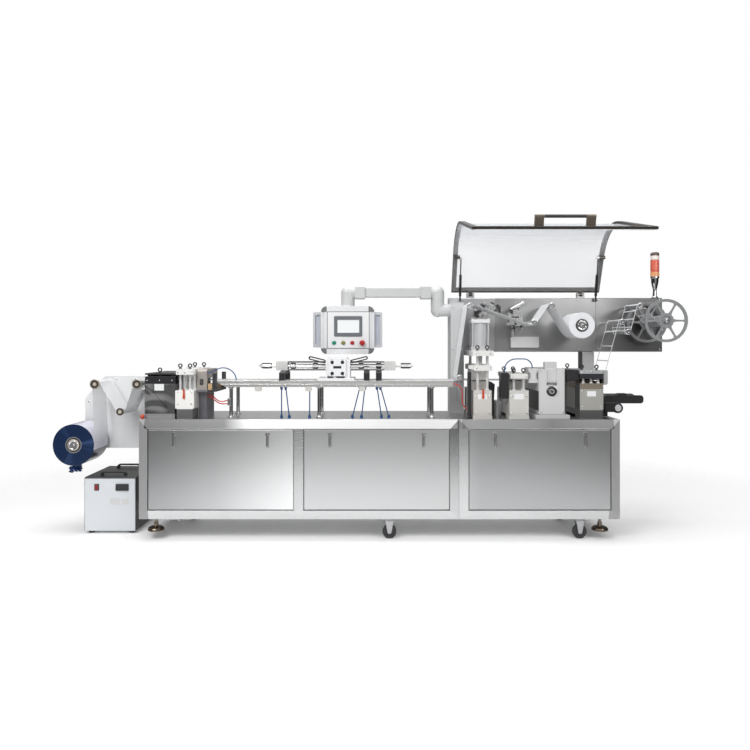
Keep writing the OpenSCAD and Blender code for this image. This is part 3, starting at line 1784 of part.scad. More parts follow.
// Cast flange: channelled rim, tapered spokes and a hub on the core
module reel_flange() {
    t = flange_thickness;
    inner = reel_radius - reel_rim;
    turned_y([0, 0, 0], [
        [inner, 2], [reel_radius - 5, 2], [reel_radius - 3, 0], [reel_radius, 0], [reel_radius, t],
        [reel_radius - 3, t], [reel_radius - 5, t - 2], [inner, t - 2]
    ]);
    turned_y([0, 0, 0], [
        [reel_core_radius, 0], [reel_hub - 2, 0], [reel_hub, 2], [reel_hub, t - 2], [reel_hub - 2, t],
        [reel_core_radius, t]
    ]);
    for (i = [0 : reel_spokes - 1])
        rotate([0, i * 360 / reel_spokes, 0])
            plate_xz(3, t - 3)
                polygon([
                    [reel_hub - 3, -12], [reel_hub + 22, -7], [inner - 14, -6], [inner + 4, -12],
                    [inner + 4, 12], [inner - 14, 6], [reel_hub + 22, 7], [reel_hub - 3, 12]
                ]);
}

// Places guard work made closed, hinge at the origin, forward along +X
module guard_open_pose() {
    translate([guard_x, guard_y, guard_z])
        rotate([90, 0, 90])
            mirror([1, 0, 0])
                rotate([0, 0, guard_open])
                    children();
}

// Places work on the guard front: outward along +X from the bend centre, down along -Y
module guard_front_pose() {
    translate([guard_top, -guard_bend])
        rotate([0, 0, guard_lean])
            children();
}

// Side outline of the guard between two distances from its inner face
module guard_strip(inner, outer, from) {
    wide = 2 * guard_bend;
    translate([from, inner])
        square([guard_top - from, outer - inner]);
    translate([guard_top, -guard_bend])
        intersection() {
            difference() {
                circle(guard_bend + outer, $fn = 96);
                circle(guard_bend + inner, $fn = 96);
            }
            polygon([[0, 0], [wide, wide * tan(guard_lean)], [wide, wide], [0, wide]]);
        }
    guard_front_pose()
        translate([guard_bend + inner, -guard_front])
            square([outer - inner, guard_front + 0.01]);
}

module guard_frame() {
    depth = guard_bar_thickness - guard_sheet_thickness;
    color("darkslategrey")
        guard_open_pose() {
            for (z = [0, guard_length - guard_bar])
                translate([0, 0, z])
                    linear_extrude(guard_bar)
                        guard_strip(guard_sheet_thickness, guard_bar_thickness, 16);
            translate([16, guard_sheet_thickness, 0])
                cube([40, depth, guard_length]);
            guard_front_pose()
                translate([guard_bend + guard_sheet_thickness, -guard_front, 0])
                    cube([depth, guard_bar, guard_length]);
            for (x = [120, guard_length - 180])
                guard_knuckle(x);
            for (side = [0, 1])
                translate([0, 0, side * guard_length])
                    mirror([0, 0, side])
                        guard_lug();
        }
}

// Knuckle between the two hinge leaf eyes
module guard_knuckle(x) {
    translate([0, 0, x + 16])
        difference() {
            union() {
                cylinder(h = 28, r = 13);
                cube([30, guard_bar_thickness, 28]);
            }
            translate([0, 0, -1])
                cylinder(h = 30, r = hinge_pin_radius + hinge_clearance);
        }
}

lug_width = 24;
lug_end = strut_inset - strut_eye / 2 - 1;
lug_clearance = 0.5;

// Lug under a side bar that a strut rod meets, short of its eye
module guard_lug() {
    at = strut_high_closed;
    translate([at[0], 0, 2])
        linear_extrude(lug_end - 2) {
            translate([0, at[1]])
                circle(lug_width / 2);
            translate([-lug_width / 2, at[1]])
                square([lug_width, -at[1] + guard_sheet_thickness + 0.1]);
        }
}

// Clear sheet under the bars, notched round the strut lugs
module guard_sheet() {
    notch = lug_width / 2 + lug_clearance;
    color("lightcyan", 0.4)
        guard_open_pose()
            difference() {
                translate([0, 0, 4])
                    linear_extrude(guard_length - 8)
                        guard_strip(0, guard_sheet_thickness, 34);
                for (z = [-1, guard_length - lug_end - lug_clearance])
                    translate([strut_high_closed[0] - notch, -1, z])
                        cube([2 * notch, guard_sheet_thickness + 2, lug_end + lug_clearance + 1]);
            }
}

// Grip bar on two flat posts
module guard_handle() {
    post = 58;
    color("black")
        guard_open_pose()
            guard_front_pose()
                translate([
                    guard_bend + guard_bar_thickness,
                    -guard_front + guard_bar / 2,
                    guard_length / 2
                ]) {
                    for (side = [0, 1])
                        mirror([0, 0, side])
                            translate([0, -8, guard_handle_length / 2 - post])
                                cube([guard_handle_rise, 16, post]);
                    translate([guard_handle_rise, 0, -guard_handle_length / 2])
                        cylinder(h = guard_handle_length, r = guard_handle_radius);
                }
}

// Places strut work made along +X from its lower pin
module strut_pose(x) {
    translate([x, guard_y - strut_low[0], guard_z + strut_low[1]])
        rotate([90, 0, 90])
            mirror([1, 0, 0])
                rotate([0, 0, strut_open_angle])
                    children();
}

strut_places = [guard_x + strut_inset, guard_x + guard_length - strut_inset];
strut_neck = 26;
rod_radius = 5;

// Eye, narrow neck and hollow tube
module strut_tubes() {
    color("black")
        for (x = strut_places)
            strut_pose(x)
                difference() {
                    union() {
                        translate([0, 0, -strut_eye / 2])
                            cylinder(h = strut_eye, r = 10);
                        turned_x([0, 0, 0], [
                            [0, 0], [6, 0], [6, strut_neck - 2], [strut_radius, strut_neck + 2],
                            [strut_radius, strut_tube_length - 2], [strut_radius - 2, strut_tube_length],
                            [0, strut_tube_length]
                        ]);
                    }
                    translate([0, 0, -strut_eye])
                        cylinder(h = 2 * strut_eye, r = strut_pin_radius + 0.08);
                    translate([strut_neck, 0, 0])
                        rotate([0, 90, 0])
                            cylinder(h = strut_tube_length, r = rod_radius + 0.3);
                }
}

module strut_rods() {
    color("gainsboro")
        for (x = strut_places)
            strut_pose(x)
                translate([strut_open_length, 0, 0]) {
                    translate([0, 0, -strut_eye / 2])
                        cylinder(h = strut_eye, r = 10);
                    translate([-strut_rod_length, 0, 0])
                        rotate([0, 90, 0])
                            cylinder(h = strut_rod_length, r = rod_radius);
                }
}

// Levers on the station fronts and the knob at the table corner
module red_levers() {
    color("orangered") {
        for (x = [forming_x + 63, sealing_x + 68])
            red_lever(x, block_top - 50);
        turned_z(
            [17, 40, table_height],
            [[0, 0], [8, 0], [8, 6], [14, 12], [15, 24], [11, 32], [4, 35], [0, 35]]
        );
    }
}

module red_lever(x, z) {
    plate_xz(station_front - 7, station_front) {
        translate([x, z])
            circle(9);
        polygon([[x - 8, z], [x + 8, z], [x + 5, z + 56], [x - 5, z + 56]]);
        translate([x, z + 56])
            circle(6);
    }
}

// Dark pieces: feeder clamps and links, valve bodies beside the stations
module black_fittings() {
    color("black") {
        for (x = [-405, 207, 296])
            feeder_clamp(feeder_x + x, 42);
        feeder_link(feeder_left - 65, 14);
        feeder_link(feeder_right + 65, -14);
        slab(
            [sealing_x - 38, station_front + 20, table_height],
            [sealing_x - 8, station_front + 80, table_height + 12]
        );
        slab(
            [sealing_x - 34, station_front + 26, table_height + 11.9],
            [sealing_x - 12, station_front + 74, sealing_mid - 10]
        );
        plate_xz(web_low + 20, web_high - 20)
            polygon([
                [sealing_x + 148, table_height], [sealing_x + 170, table_height],
                [sealing_x + 170, table_height + 120],
                [sealing_x + 176, web_z - 30], [sealing_x + 150, web_z - 11], [sealing_x + 140, web_z - 11],
                [sealing_x + 140, table_height + 120], [sealing_x + 148, table_height + 110]
            ]);
        plate_xz(station_front + 20, web_low - 10)
            polygon(chamfered([cooling_x - 56, block_top - 60], [cooling_x, block_top + 125], 5));
        plate_xz(station_front + 20, web_low - 10)
            polygon([
                [cutting_x - 82, cutting_cap - 26], [cutting_x, cutting_cap - 10],
                [cutting_x, cutting_cap + 62], [cutting_x - 82, cutting_cap + 66]
            ]);
    }
}

// Bridge over the film that holds the rails on the track
module feeder_clamp(x, length) {
    bridge = rail_low - 24;
    beam_x(x, x + length)
        polygon([
            [track_low, track_top], [track_low + 24, track_top], [track_low + 30, bridge],
            [track_high - 30, bridge], [track_high - 24, track_top], [track_high, track_top],
            [track_high, bridge + 10], [line_y + 50, rail_low], [line_y - 50, rail_low],
            [track_low, bridge + 10]
        ]);
}

// Long open link between a rail and the feeder body
module feeder_link(x, tilt) {
    translate([x, 0, rail_high + 13])
        rotate([0, tilt, 0])
            plate_xz(line_y - 59, line_y - 45)
                difference() {
                    rounded([-66, -14], [66, 14], 13.9);
                    rounded([-56, -5], [56, 5], 4.9);
                }
}

tube_y = track_low + 20;
// Air tubes as [top, bottom] distances from the feeder
tube_runs = [[-389, -389], [-359, -333], [-184, -186], [180, 125], [216, 191], [303, 336], [328, 389]];

// Stiff air tubes from the track down to the table, with their fittings
module air_tubes() {
    top = track_top - track_thickness;
    color("royalblue")
        for (run = tube_runs) {
            rise = top - table_height;
            shift = run[0] - run[1];
            translate([feeder_x + run[1], tube_y, table_height + 2])
                rotate([0, atan2(shift, rise), 0])
                    cylinder(h = norm([shift, rise]) - 4, r = 4);
            turned_z(
                [feeder_x + run[1], tube_y, table_height],
                [[0, 0], [11, 0], [11, 8], [8, 12], [8, 20], [0, 20]]
            );
            turned_z(
                [feeder_x + run[0], tube_y, top - 22],
                [[0, 0], [8, 0], [8, 10], [11, 14], [11, 22], [0, 22]]
            );
        }
}

module blue_air_hoses() {
    color("royalblue")
        for (route = [forming_hose, cooling_hose])
            hose(route);
}

module red_air_hoses() {
    color("red")
        for (route = [upper_red_hose, lower_red_hose, sealing_red_hose])
            hose(route);
}

placed() {
    left_cabinet();
    right_cabinet();
    door_panels();
    door_handles();
    levelling_feet();
    caster_brackets();
    caster_wheels();
    film_stand_plate();
    film_guide_rollers();
    roll_spindles();
    film_web();
    heating_box();
    heating_plates();
    forming_blocks();
    forming_head();
    guide_columns();
    film_track();
    track_legs();
    feeder_block();
    feeder_rails();
    left_column();
    right_column();
    upper_panel();
    sealing_blocks();
    sealing_plates();
    sealing_cylinder();
    cooling_blocks();
    cooling_plate();
    traction_housing();
    cutting_blocks();
    cutting_head();
    outfeed_chute();
    foil_rollers();
    foil_web();
    coding_unit();
    scrap_web();
    signal_base();
    signal_lamp();
    arm_bracket();
    chiller_case();
    chiller_trim();
    film_roll();
    foil_roll();
    reel_flanges();
    reel_core();
    hmi_arm();
    hmi_box();
    hmi_trim();
    hmi_screen();
    hmi_handles();
    guard_frame();
    guard_sheet();
    guard_handle();
    strut_tubes();
    strut_rods();
    red_levers();
    black_fittings();
    air_tubes();
    blue_air_hoses();
    red_air_hoses();
}
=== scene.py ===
import bpy
import bmesh
import json
import math
import random
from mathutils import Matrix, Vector


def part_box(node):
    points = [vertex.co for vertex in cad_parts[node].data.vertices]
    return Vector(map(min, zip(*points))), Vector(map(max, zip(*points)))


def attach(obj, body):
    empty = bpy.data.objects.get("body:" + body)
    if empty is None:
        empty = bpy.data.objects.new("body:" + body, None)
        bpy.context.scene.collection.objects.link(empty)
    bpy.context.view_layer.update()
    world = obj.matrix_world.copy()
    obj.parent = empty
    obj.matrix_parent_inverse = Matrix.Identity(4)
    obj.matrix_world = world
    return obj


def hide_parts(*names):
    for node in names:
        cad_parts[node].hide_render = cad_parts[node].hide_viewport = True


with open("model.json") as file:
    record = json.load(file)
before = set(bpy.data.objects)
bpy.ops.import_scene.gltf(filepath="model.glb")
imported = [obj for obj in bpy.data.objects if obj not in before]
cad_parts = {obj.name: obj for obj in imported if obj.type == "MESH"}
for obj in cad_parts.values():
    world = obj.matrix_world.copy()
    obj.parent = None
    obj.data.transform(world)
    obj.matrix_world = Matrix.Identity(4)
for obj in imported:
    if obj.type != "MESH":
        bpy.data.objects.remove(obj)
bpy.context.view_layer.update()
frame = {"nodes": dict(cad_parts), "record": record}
nodes = frame["nodes"]
scene = bpy.context.scene
scene.view_settings.view_transform = "Standard"
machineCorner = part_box("left_cabinet")[0]  # left front end of the cabinet
random.seed(7)
print("frame loaded:", len(nodes), "nodes")


def at(x, y, z):  # machine millimetres, from the cabinet's left front end on the floor
    return Vector((machineCorner.x + x / 1000, machineCorner.y + y / 1000, z / 1000))


def machineX(place):  # machine millimetres along X of a place in the frame
    return (place.x - machineCorner.x) * 1000


# camera, at the photograph's place
shot = {"place": (1645, -4500, 1367), "lens": 30.864, "sensor": 36, "shiftX": 0.0027, "shiftY": -0.0387}
cameraData = bpy.data.cameras.new("shotCamera")
cameraData.lens = shot["lens"]
cameraData.sensor_width = shot["sensor"]
cameraData.shift_x = shot["shiftX"]
cameraData.shift_y = shot["shiftY"]
camera = bpy.data.objects.new("shotCamera", cameraData)
camera.location = at(*shot["place"])
camera.rotation_euler = (math.radians(90), 0, 0)
scene.collection.objects.link(camera)
scene.camera = camera
print("camera set")


# node helpers
def addNode(tree, kind, **values):
    node = tree.nodes.new(kind)
    for key, value in values.items():
        setattr(node, key, value)
    return node


def setOrLink(tree, socket, value):
    if isinstance(value, bpy.types.NodeSocket):
        tree.links.new(value, socket)
    else:
        socket.default_value = value


def feed(tree, node, **sockets):  # links or sets the named inputs
    for name, value in sockets.items():
        setOrLink(tree, node.inputs[name.replace("_", " ")], value)
    return node


def newGroup(name, inputs, outputs):
    group = bpy.data.node_groups.new(name, "ShaderNodeTree")
    for label, kind, value in inputs:
        socket = group.interface.new_socket(label, in_out="INPUT", socket_type=kind)
        socket.default_value = value
    for label, kind in outputs:
        group.interface.new_socket(label, in_out="OUTPUT", socket_type=kind)
    return group, addNode(group, "NodeGroupInput"), addNode(group, "NodeGroupOutput")


def mathNode(tree, operation, a, b):
    node = addNode(tree, "ShaderNodeMath", operation=operation)
    setOrLink(tree, node.inputs[0], a)
    setOrLink(tree, node.inputs[1], b)
    return node.outputs[0]


def vectorNode(tree, operation, a, b):
    node = addNode(tree, "ShaderNodeVectorMath", operation=operation)
    setOrLink(tree, node.inputs[0], a)
    setOrLink(tree, node.inputs[1], b)
    return node


def spread(tree, value, low, high, start=0.0, end=1.0):  # carries start..end to low..high
    node = addNode(tree, "ShaderNodeMapRange")
    feed(tree, node, Value=value, From_Min=start, From_Max=end, To_Min=low, To_Max=high)
    return node.outputs[0]


def blendColour(tree, share, first, second):
    node = addNode(tree, "ShaderNodeMix", data_type="RGBA")
    for socket, value in zip((node.inputs[0], node.inputs[6], node.inputs[7]), (share, first, second)):
        setOrLink(tree, socket, value)
    return node.outputs[2]


def blendValue(tree, share, first, second):
    node = addNode(tree, "ShaderNodeMix", data_type="FLOAT")
    for socket, value in zip((node.inputs[0], node.inputs[2], node.inputs[3]), (share, first, second)):
        setOrLink(tree, socket, value)
    return node.outputs[0]


def tinted(tree, colour, value):  # colour times a grey value
    node = addNode(tree, "ShaderNodeVectorMath", operation="SCALE")
    tree.links.new(colour, node.inputs[0])
    tree.links.new(value, node.inputs["Scale"])
    return node.outputs[0]


def noiseAt(tree, vector, scale, detail=3.0):
    node = addNode(tree, "ShaderNodeTexNoise")
    feed(tree, node, Vector=vector, Scale=scale, Detail=detail)
    return node.outputs["Fac"]


def objectPlace(tree):
    return addNode(tree, "ShaderNodeTexCoord").outputs["Object"]


# shared effects
def makeBrushedGrain():
    group, given, out = newGroup(
        "brushedGrain",
        [("Tint", "NodeSocketColor", (0.6, 0.6, 0.6, 1)), ("Stretch", "NodeSocketVector", (2, 60, 60)),
         ("Depth", "NodeSocketFloat", 0.12), ("Cloud", "NodeSocketFloat", 0.1),
         ("Rough", "NodeSocketFloat", 0.3)],
        [("Color", "NodeSocketColor"), ("Roughness", "NodeSocketFloat"), ("Height", "NodeSocketFloat")],
    )
    place = objectPlace(group)
    stretched = vectorNode(group, "MULTIPLY", place, given.outputs["Stretch"]).outputs[0]
    grain = noiseAt(group, stretched, scale=8.0, detail=5.0)
    cloud = noiseAt(group, place, scale=1.6, detail=2.0)
    grainTone = mathNode(group, "MULTIPLY", mathNode(group, "SUBTRACT", grain, 0.5), given.outputs["Depth"])
    cloudTone = mathNode(group, "MULTIPLY", mathNode(group, "SUBTRACT", cloud, 0.5), given.outputs["Cloud"])
    tone = mathNode(group, "ADD", mathNode(group, "ADD", grainTone, cloudTone), 1.0)
    feed(group, out, Color=tinted(group, given.outputs["Tint"], tone))
    feed(group, out, Roughness=mathNode(group, "ADD", given.outputs["Rough"], grainTone))
    feed(group, out, Height=grain)
    return group


def makePaintSkin():
    group, given, out = newGroup(
        "paintSkin",
        [("Tint", "NodeSocketColor", (0.8, 0.8, 0.8, 1)), ("Mottle", "NodeSocketFloat", 0.06),
         ("Scale", "NodeSocketFloat", 300.0), ("Rough", "NodeSocketFloat", 0.35)],
        [("Color", "NodeSocketColor"), ("Roughness", "NodeSocketFloat"), ("Height", "NodeSocketFloat")],
    )
    place = objectPlace(group)
    peel = addNode(group, "ShaderNodeTexNoise")
    feed(group, peel, Vector=place, Scale=given.outputs["Scale"], Detail=2.0)
    cloud = noiseAt(group, place, scale=3.0)
    shift = mathNode(group, "MULTIPLY", mathNode(group, "SUBTRACT", cloud, 0.5), given.outputs["Mottle"])
    feed(group, out, Color=tinted(group, given.outputs["Tint"], mathNode(group, "ADD", shift, 1.0)))
    feed(group, out, Roughness=mathNode(group, "ADD", given.outputs["Rough"], shift))
    feed(group, out, Height=peel.outputs["Fac"])
    return group


# edge mask: worn bare edges, and painted highlight on the film's loose end
def makeEdgeWearAndHighlight():
    group, given, out = newGroup(
        "edgeWearAndHighlight",
        [("Radius", "NodeSocketFloat", 0.004), ("Amount", "NodeSocketFloat", 0.6)],
        [("Mask", "NodeSocketFloat"), ("Normal", "NodeSocketVector")],
    )
    rounded = addNode(group, "ShaderNodeBevel", samples=4)
    feed(group, rounded, Radius=given.outputs["Radius"])
    flat = addNode(group, "ShaderNodeNewGeometry").outputs["Normal"]
    facing = vectorNode(group, "DOT_PRODUCT", rounded.outputs[0], flat)
    turned = mathNode(group, "SUBTRACT", 1.0, facing.outputs["Value"])
    scuff = noiseAt(group, objectPlace(group), scale=60.0, detail=4.0)
    mask = mathNode(group, "MULTIPLY", mathNode(group, "MULTIPLY", turned, scuff), given.outputs["Amount"])
    clamp = addNode(group, "ShaderNodeClamp")
    feed(group, clamp, Value=mathNode(group, "MULTIPLY", mask, 8.0))
    feed(group, out, Mask=clamp.outputs[0], Normal=rounded.outputs[0])
    return group


def makeBoxMask():  # 1 inside a box of the part's own place, 0 outside
    group, given, out = newGroup(
        "boxMask",
        [("Low", "NodeSocketVector", (0, 0, 0)), ("High", "NodeSocketVector", (1, 1, 1))],
        [("Mask", "NodeSocketFloat")],
    )
    place = addNode(group, "ShaderNodeSeparateXYZ")
    low = addNode(group, "ShaderNodeSeparateXYZ")
    high = addNode(group, "ShaderNodeSeparateXYZ")
    group.links.new(objectPlace(group), place.inputs[0])
    group.links.new(given.outputs["Low"], low.inputs[0])
    group.links.new(given.outputs["High"], high.inputs[0])
    mask = 1.0
    for axis in range(3):
        above = mathNode(group, "GREATER_THAN", place.outputs[axis], low.outputs[axis])
        below = mathNode(group, "LESS_THAN", place.outputs[axis], high.outputs[axis])
        mask = mathNode(group, "MULTIPLY", mathNode(group, "MULTIPLY", above, below), mask)
    feed(group, out, Mask=mask)
    return group


def makeRingMask():  # 1 between two radii round a line along Y
    group, given, out = newGroup(
        "ringMask",
        [("Centre", "NodeSocketVector", (0, 0, 0)), ("Inner", "NodeSocketFloat", 0.0),
         ("Outer", "NodeSocketFloat", 1.0)],
        [("Mask", "NodeSocketFloat")],
    )
    away = vectorNode(group, "SUBTRACT", objectPlace(group), given.outputs["Centre"]).outputs[0]
    flat = vectorNode(group, "MULTIPLY", away, (1, 0, 1)).outputs[0]
    radius = addNode(group, "ShaderNodeVectorMath", operation="LENGTH")
    group.links.new(flat, radius.inputs[0])
    above = mathNode(group, "GREATER_THAN", radius.outputs["Value"], given.outputs["Inner"])
    below = mathNode(group, "LESS_THAN", radius.outputs["Value"], given.outputs["Outer"])
    feed(group, out, Mask=mathNode(group, "MULTIPLY", above, below))
    return group


brushedGrain = makeBrushedGrain()
paintSkin = makePaintSkin()
edgeWearAndHighlight = makeEdgeWearAndHighlight()
boxMask = makeBoxMask()
ringMask = makeRingMask()
print("shared effects built")


def newMaterial(name):
    material = bpy.data.materials.new(name)
    material.use_nodes = True
    tree = material.node_tree
    return material, tree, tree.nodes["Principled BSDF"]


def placeGroup(tree, group, **values):
    node = addNode(tree, "ShaderNodeGroup", node_tree=group)
    return feed(tree, node, **values)


def raised(tree, shader, height, strength, distance, normal):
    bump = addNode(tree, "ShaderNodeBump")
    feed(tree, bump, Height=height, Strength=strength, Distance=distance, Normal=normal)
    tree.links.new(bump.outputs[0], shader.inputs["Normal"])


far = 9000  # past every end of the machine
everywhere = (-far, far)


def inBox(x=everywhere, y=everywhere, z=everywhere):  # layer mask between machine places
    low, high = zip(x, y, z)
    return lambda tree: placeGroup(tree, boxMask, Low=at(*low), High=at(*high)).outputs["Mask"]


def inRing(centre, inner, outer):  # layer mask between two radii in millimetres
    return lambda tree: placeGroup(
        tree, ringMask, Centre=at(*centre), Inner=inner / 1000, Outer=outer / 1000
    ).outputs["Mask"]


def inStreaks(stretch, scale, low, high, warp):  # soft layer mask of drawn out, bent bands
    def mask(tree):
        long = vectorNode(tree, "MULTIPLY", objectPlace(tree), stretch).outputs[0]
        bands = addNode(tree, "ShaderNodeTexNoise")
        feed(tree, bands, Vector=long, Scale=scale, Detail=1.5, Distortion=warp)
        return spread(tree, bands.outputs["Fac"], 0.0, 1.0, low, high)
    return mask


def inFan(centre, low, high):  # soft layer mask of wedges round a line along Y
    def mask(tree):
        away = vectorNode(tree, "SUBTRACT", objectPlace(tree), at(*centre)).outputs[0]
        flat = vectorNode(tree, "MULTIPLY", away, (1, 0, 1)).outputs[0]
        heading = vectorNode(tree, "NORMALIZE", flat, (0, 0, 0)).outputs[0]
        return spread(tree, noiseAt(tree, heading, scale=1.7, detail=2.0), 0.0, 1.0, low, high)
    return mask


def acrossX(start, end):  # soft layer mask that grows from one X to another
    def mask(tree):
        place = addNode(tree, "ShaderNodeSeparateXYZ")
        tree.links.new(objectPlace(tree), place.inputs[0])
        return spread(tree, place.outputs[0], 0.0, 1.0, at(start, 0, 0).x, at(end, 0, 0).x)
    return mask


def both(first, second):  # layer mask where two masks meet
    return lambda tree: mathNode(tree, "MULTIPLY", first(tree), second(tree))


def surface(name, base, metal, bare, wearAndHighlight, radius, layers):  # a layer is a mask, tint, roughness and metal
    material, tree, shader = newMaterial(name)
    skin = base(tree)
    edge = placeGroup(tree, edgeWearAndHighlight, Radius=radius, Amount=wearAndHighlight)
    colour = skin.outputs["Color"]
    roughness = skin.outputs["Roughness"]
    metallic = metal
    for mask, tint, layerRough, layerMetal in layers:
        share = mask(tree)
        colour = blendColour(tree, share, colour, (*tint, 1))
        roughness = blendValue(tree, share, roughness, layerRough)
        metallic = blendValue(tree, share, metallic, layerMetal)
    colour = blendColour(tree, edge.outputs["Mask"], colour, (*bare, 1))
    feed(tree, shader, Base_Color=colour, Roughness=roughness, Metallic=metallic)
    height, normal = skin.outputs["Height"], edge.outputs["Normal"]
    raised(tree, shader, height, strength=0.05, distance=0.0005, normal=normal)
    return material


def brushedMetal(name, tint, rough=0.3, stretch=(2, 60, 60), depth=0.12, cloud=0.1, layers=()):
    def base(tree):
        return placeGroup(
            tree, brushedGrain, Tint=(*tint, 1), Stretch=stretch, Depth=depth, Cloud=cloud, Rough=rough
        )
    return surface(name, base, metal=1.0, bare=(0.9, 0.9, 0.9), wearAndHighlight=0.5, radius=0.0025, layers=layers)


def paintedMetal(name, tint, rough=0.35, mottle=0.06, bare=(0.6, 0.6, 0.6), wearAndHighlight=0.3, layers=(), metal=0.0):
    def base(tree):
        return placeGroup(tree, paintSkin, Tint=(*tint, 1), Mottle=mottle, Rough=rough)
    return surface(name, base, metal, bare, wearAndHighlight, radius=0.002, layers=layers)


def clearSheet(name, tint, alpha, rough=0.08):
    material, tree, shader = newMaterial(name)
    skin = placeGroup(tree, paintSkin, Tint=(*tint, 1), Mottle=0.04, Scale=40.0, Rough=rough)
    edge = addNode(tree, "ShaderNodeLayerWeight")
    feed(tree, edge, Blend=0.35)
    feed(tree, shader, Base_Color=skin.outputs["Color"], Roughness=skin.outputs["Roughness"])
    feed(tree, shader, Alpha=spread(tree, edge.outputs["Facing"], alpha, 0.85))
    return material


# places and tones that several finishes share
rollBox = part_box("film_roll")
rollRim = (rollBox[1].z - rollBox[0].z) * 500 - 1.5  # millimetres, just inside the film roll's rim
pastRim = 400  # millimetres, outside the film roll
filmAxis = (-535, 300, 646)
foilAxis = (3167, 300, 1517)
dialAxis = (2914, 0, 1045)
motorAxis = (machineX(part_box("outfeed_chute")[1]) - 190, 0, 913)  # near the chute's right end
filmRollers = [(-373, 0, 1090), (-190, 0, 890), (-68, 0, 1090)]  # middles of the film's guide rollers
rollerCaps = inBox(y=(-far, 175))
dialFace = inBox(y=(-far, 69))
motorFace = inBox(y=(-far, 203))
black = (0.02, 0.02, 0.022)
# near black: the colour of dark parts, and also painted shade in recesses
nearBlackAndShade = (0.03, 0.03, 0.033)
steel = (0.60, 0.605, 0.61)
longGrain = (1.5, 60, 60)  # drawn out along X
fineGrain = (30, 30, 30)
evenGrain = (20, 20, 20)
steelGrain = {"rough": 0.26, "stretch": longGrain, "depth": 0.10, "cloud": 0.25}
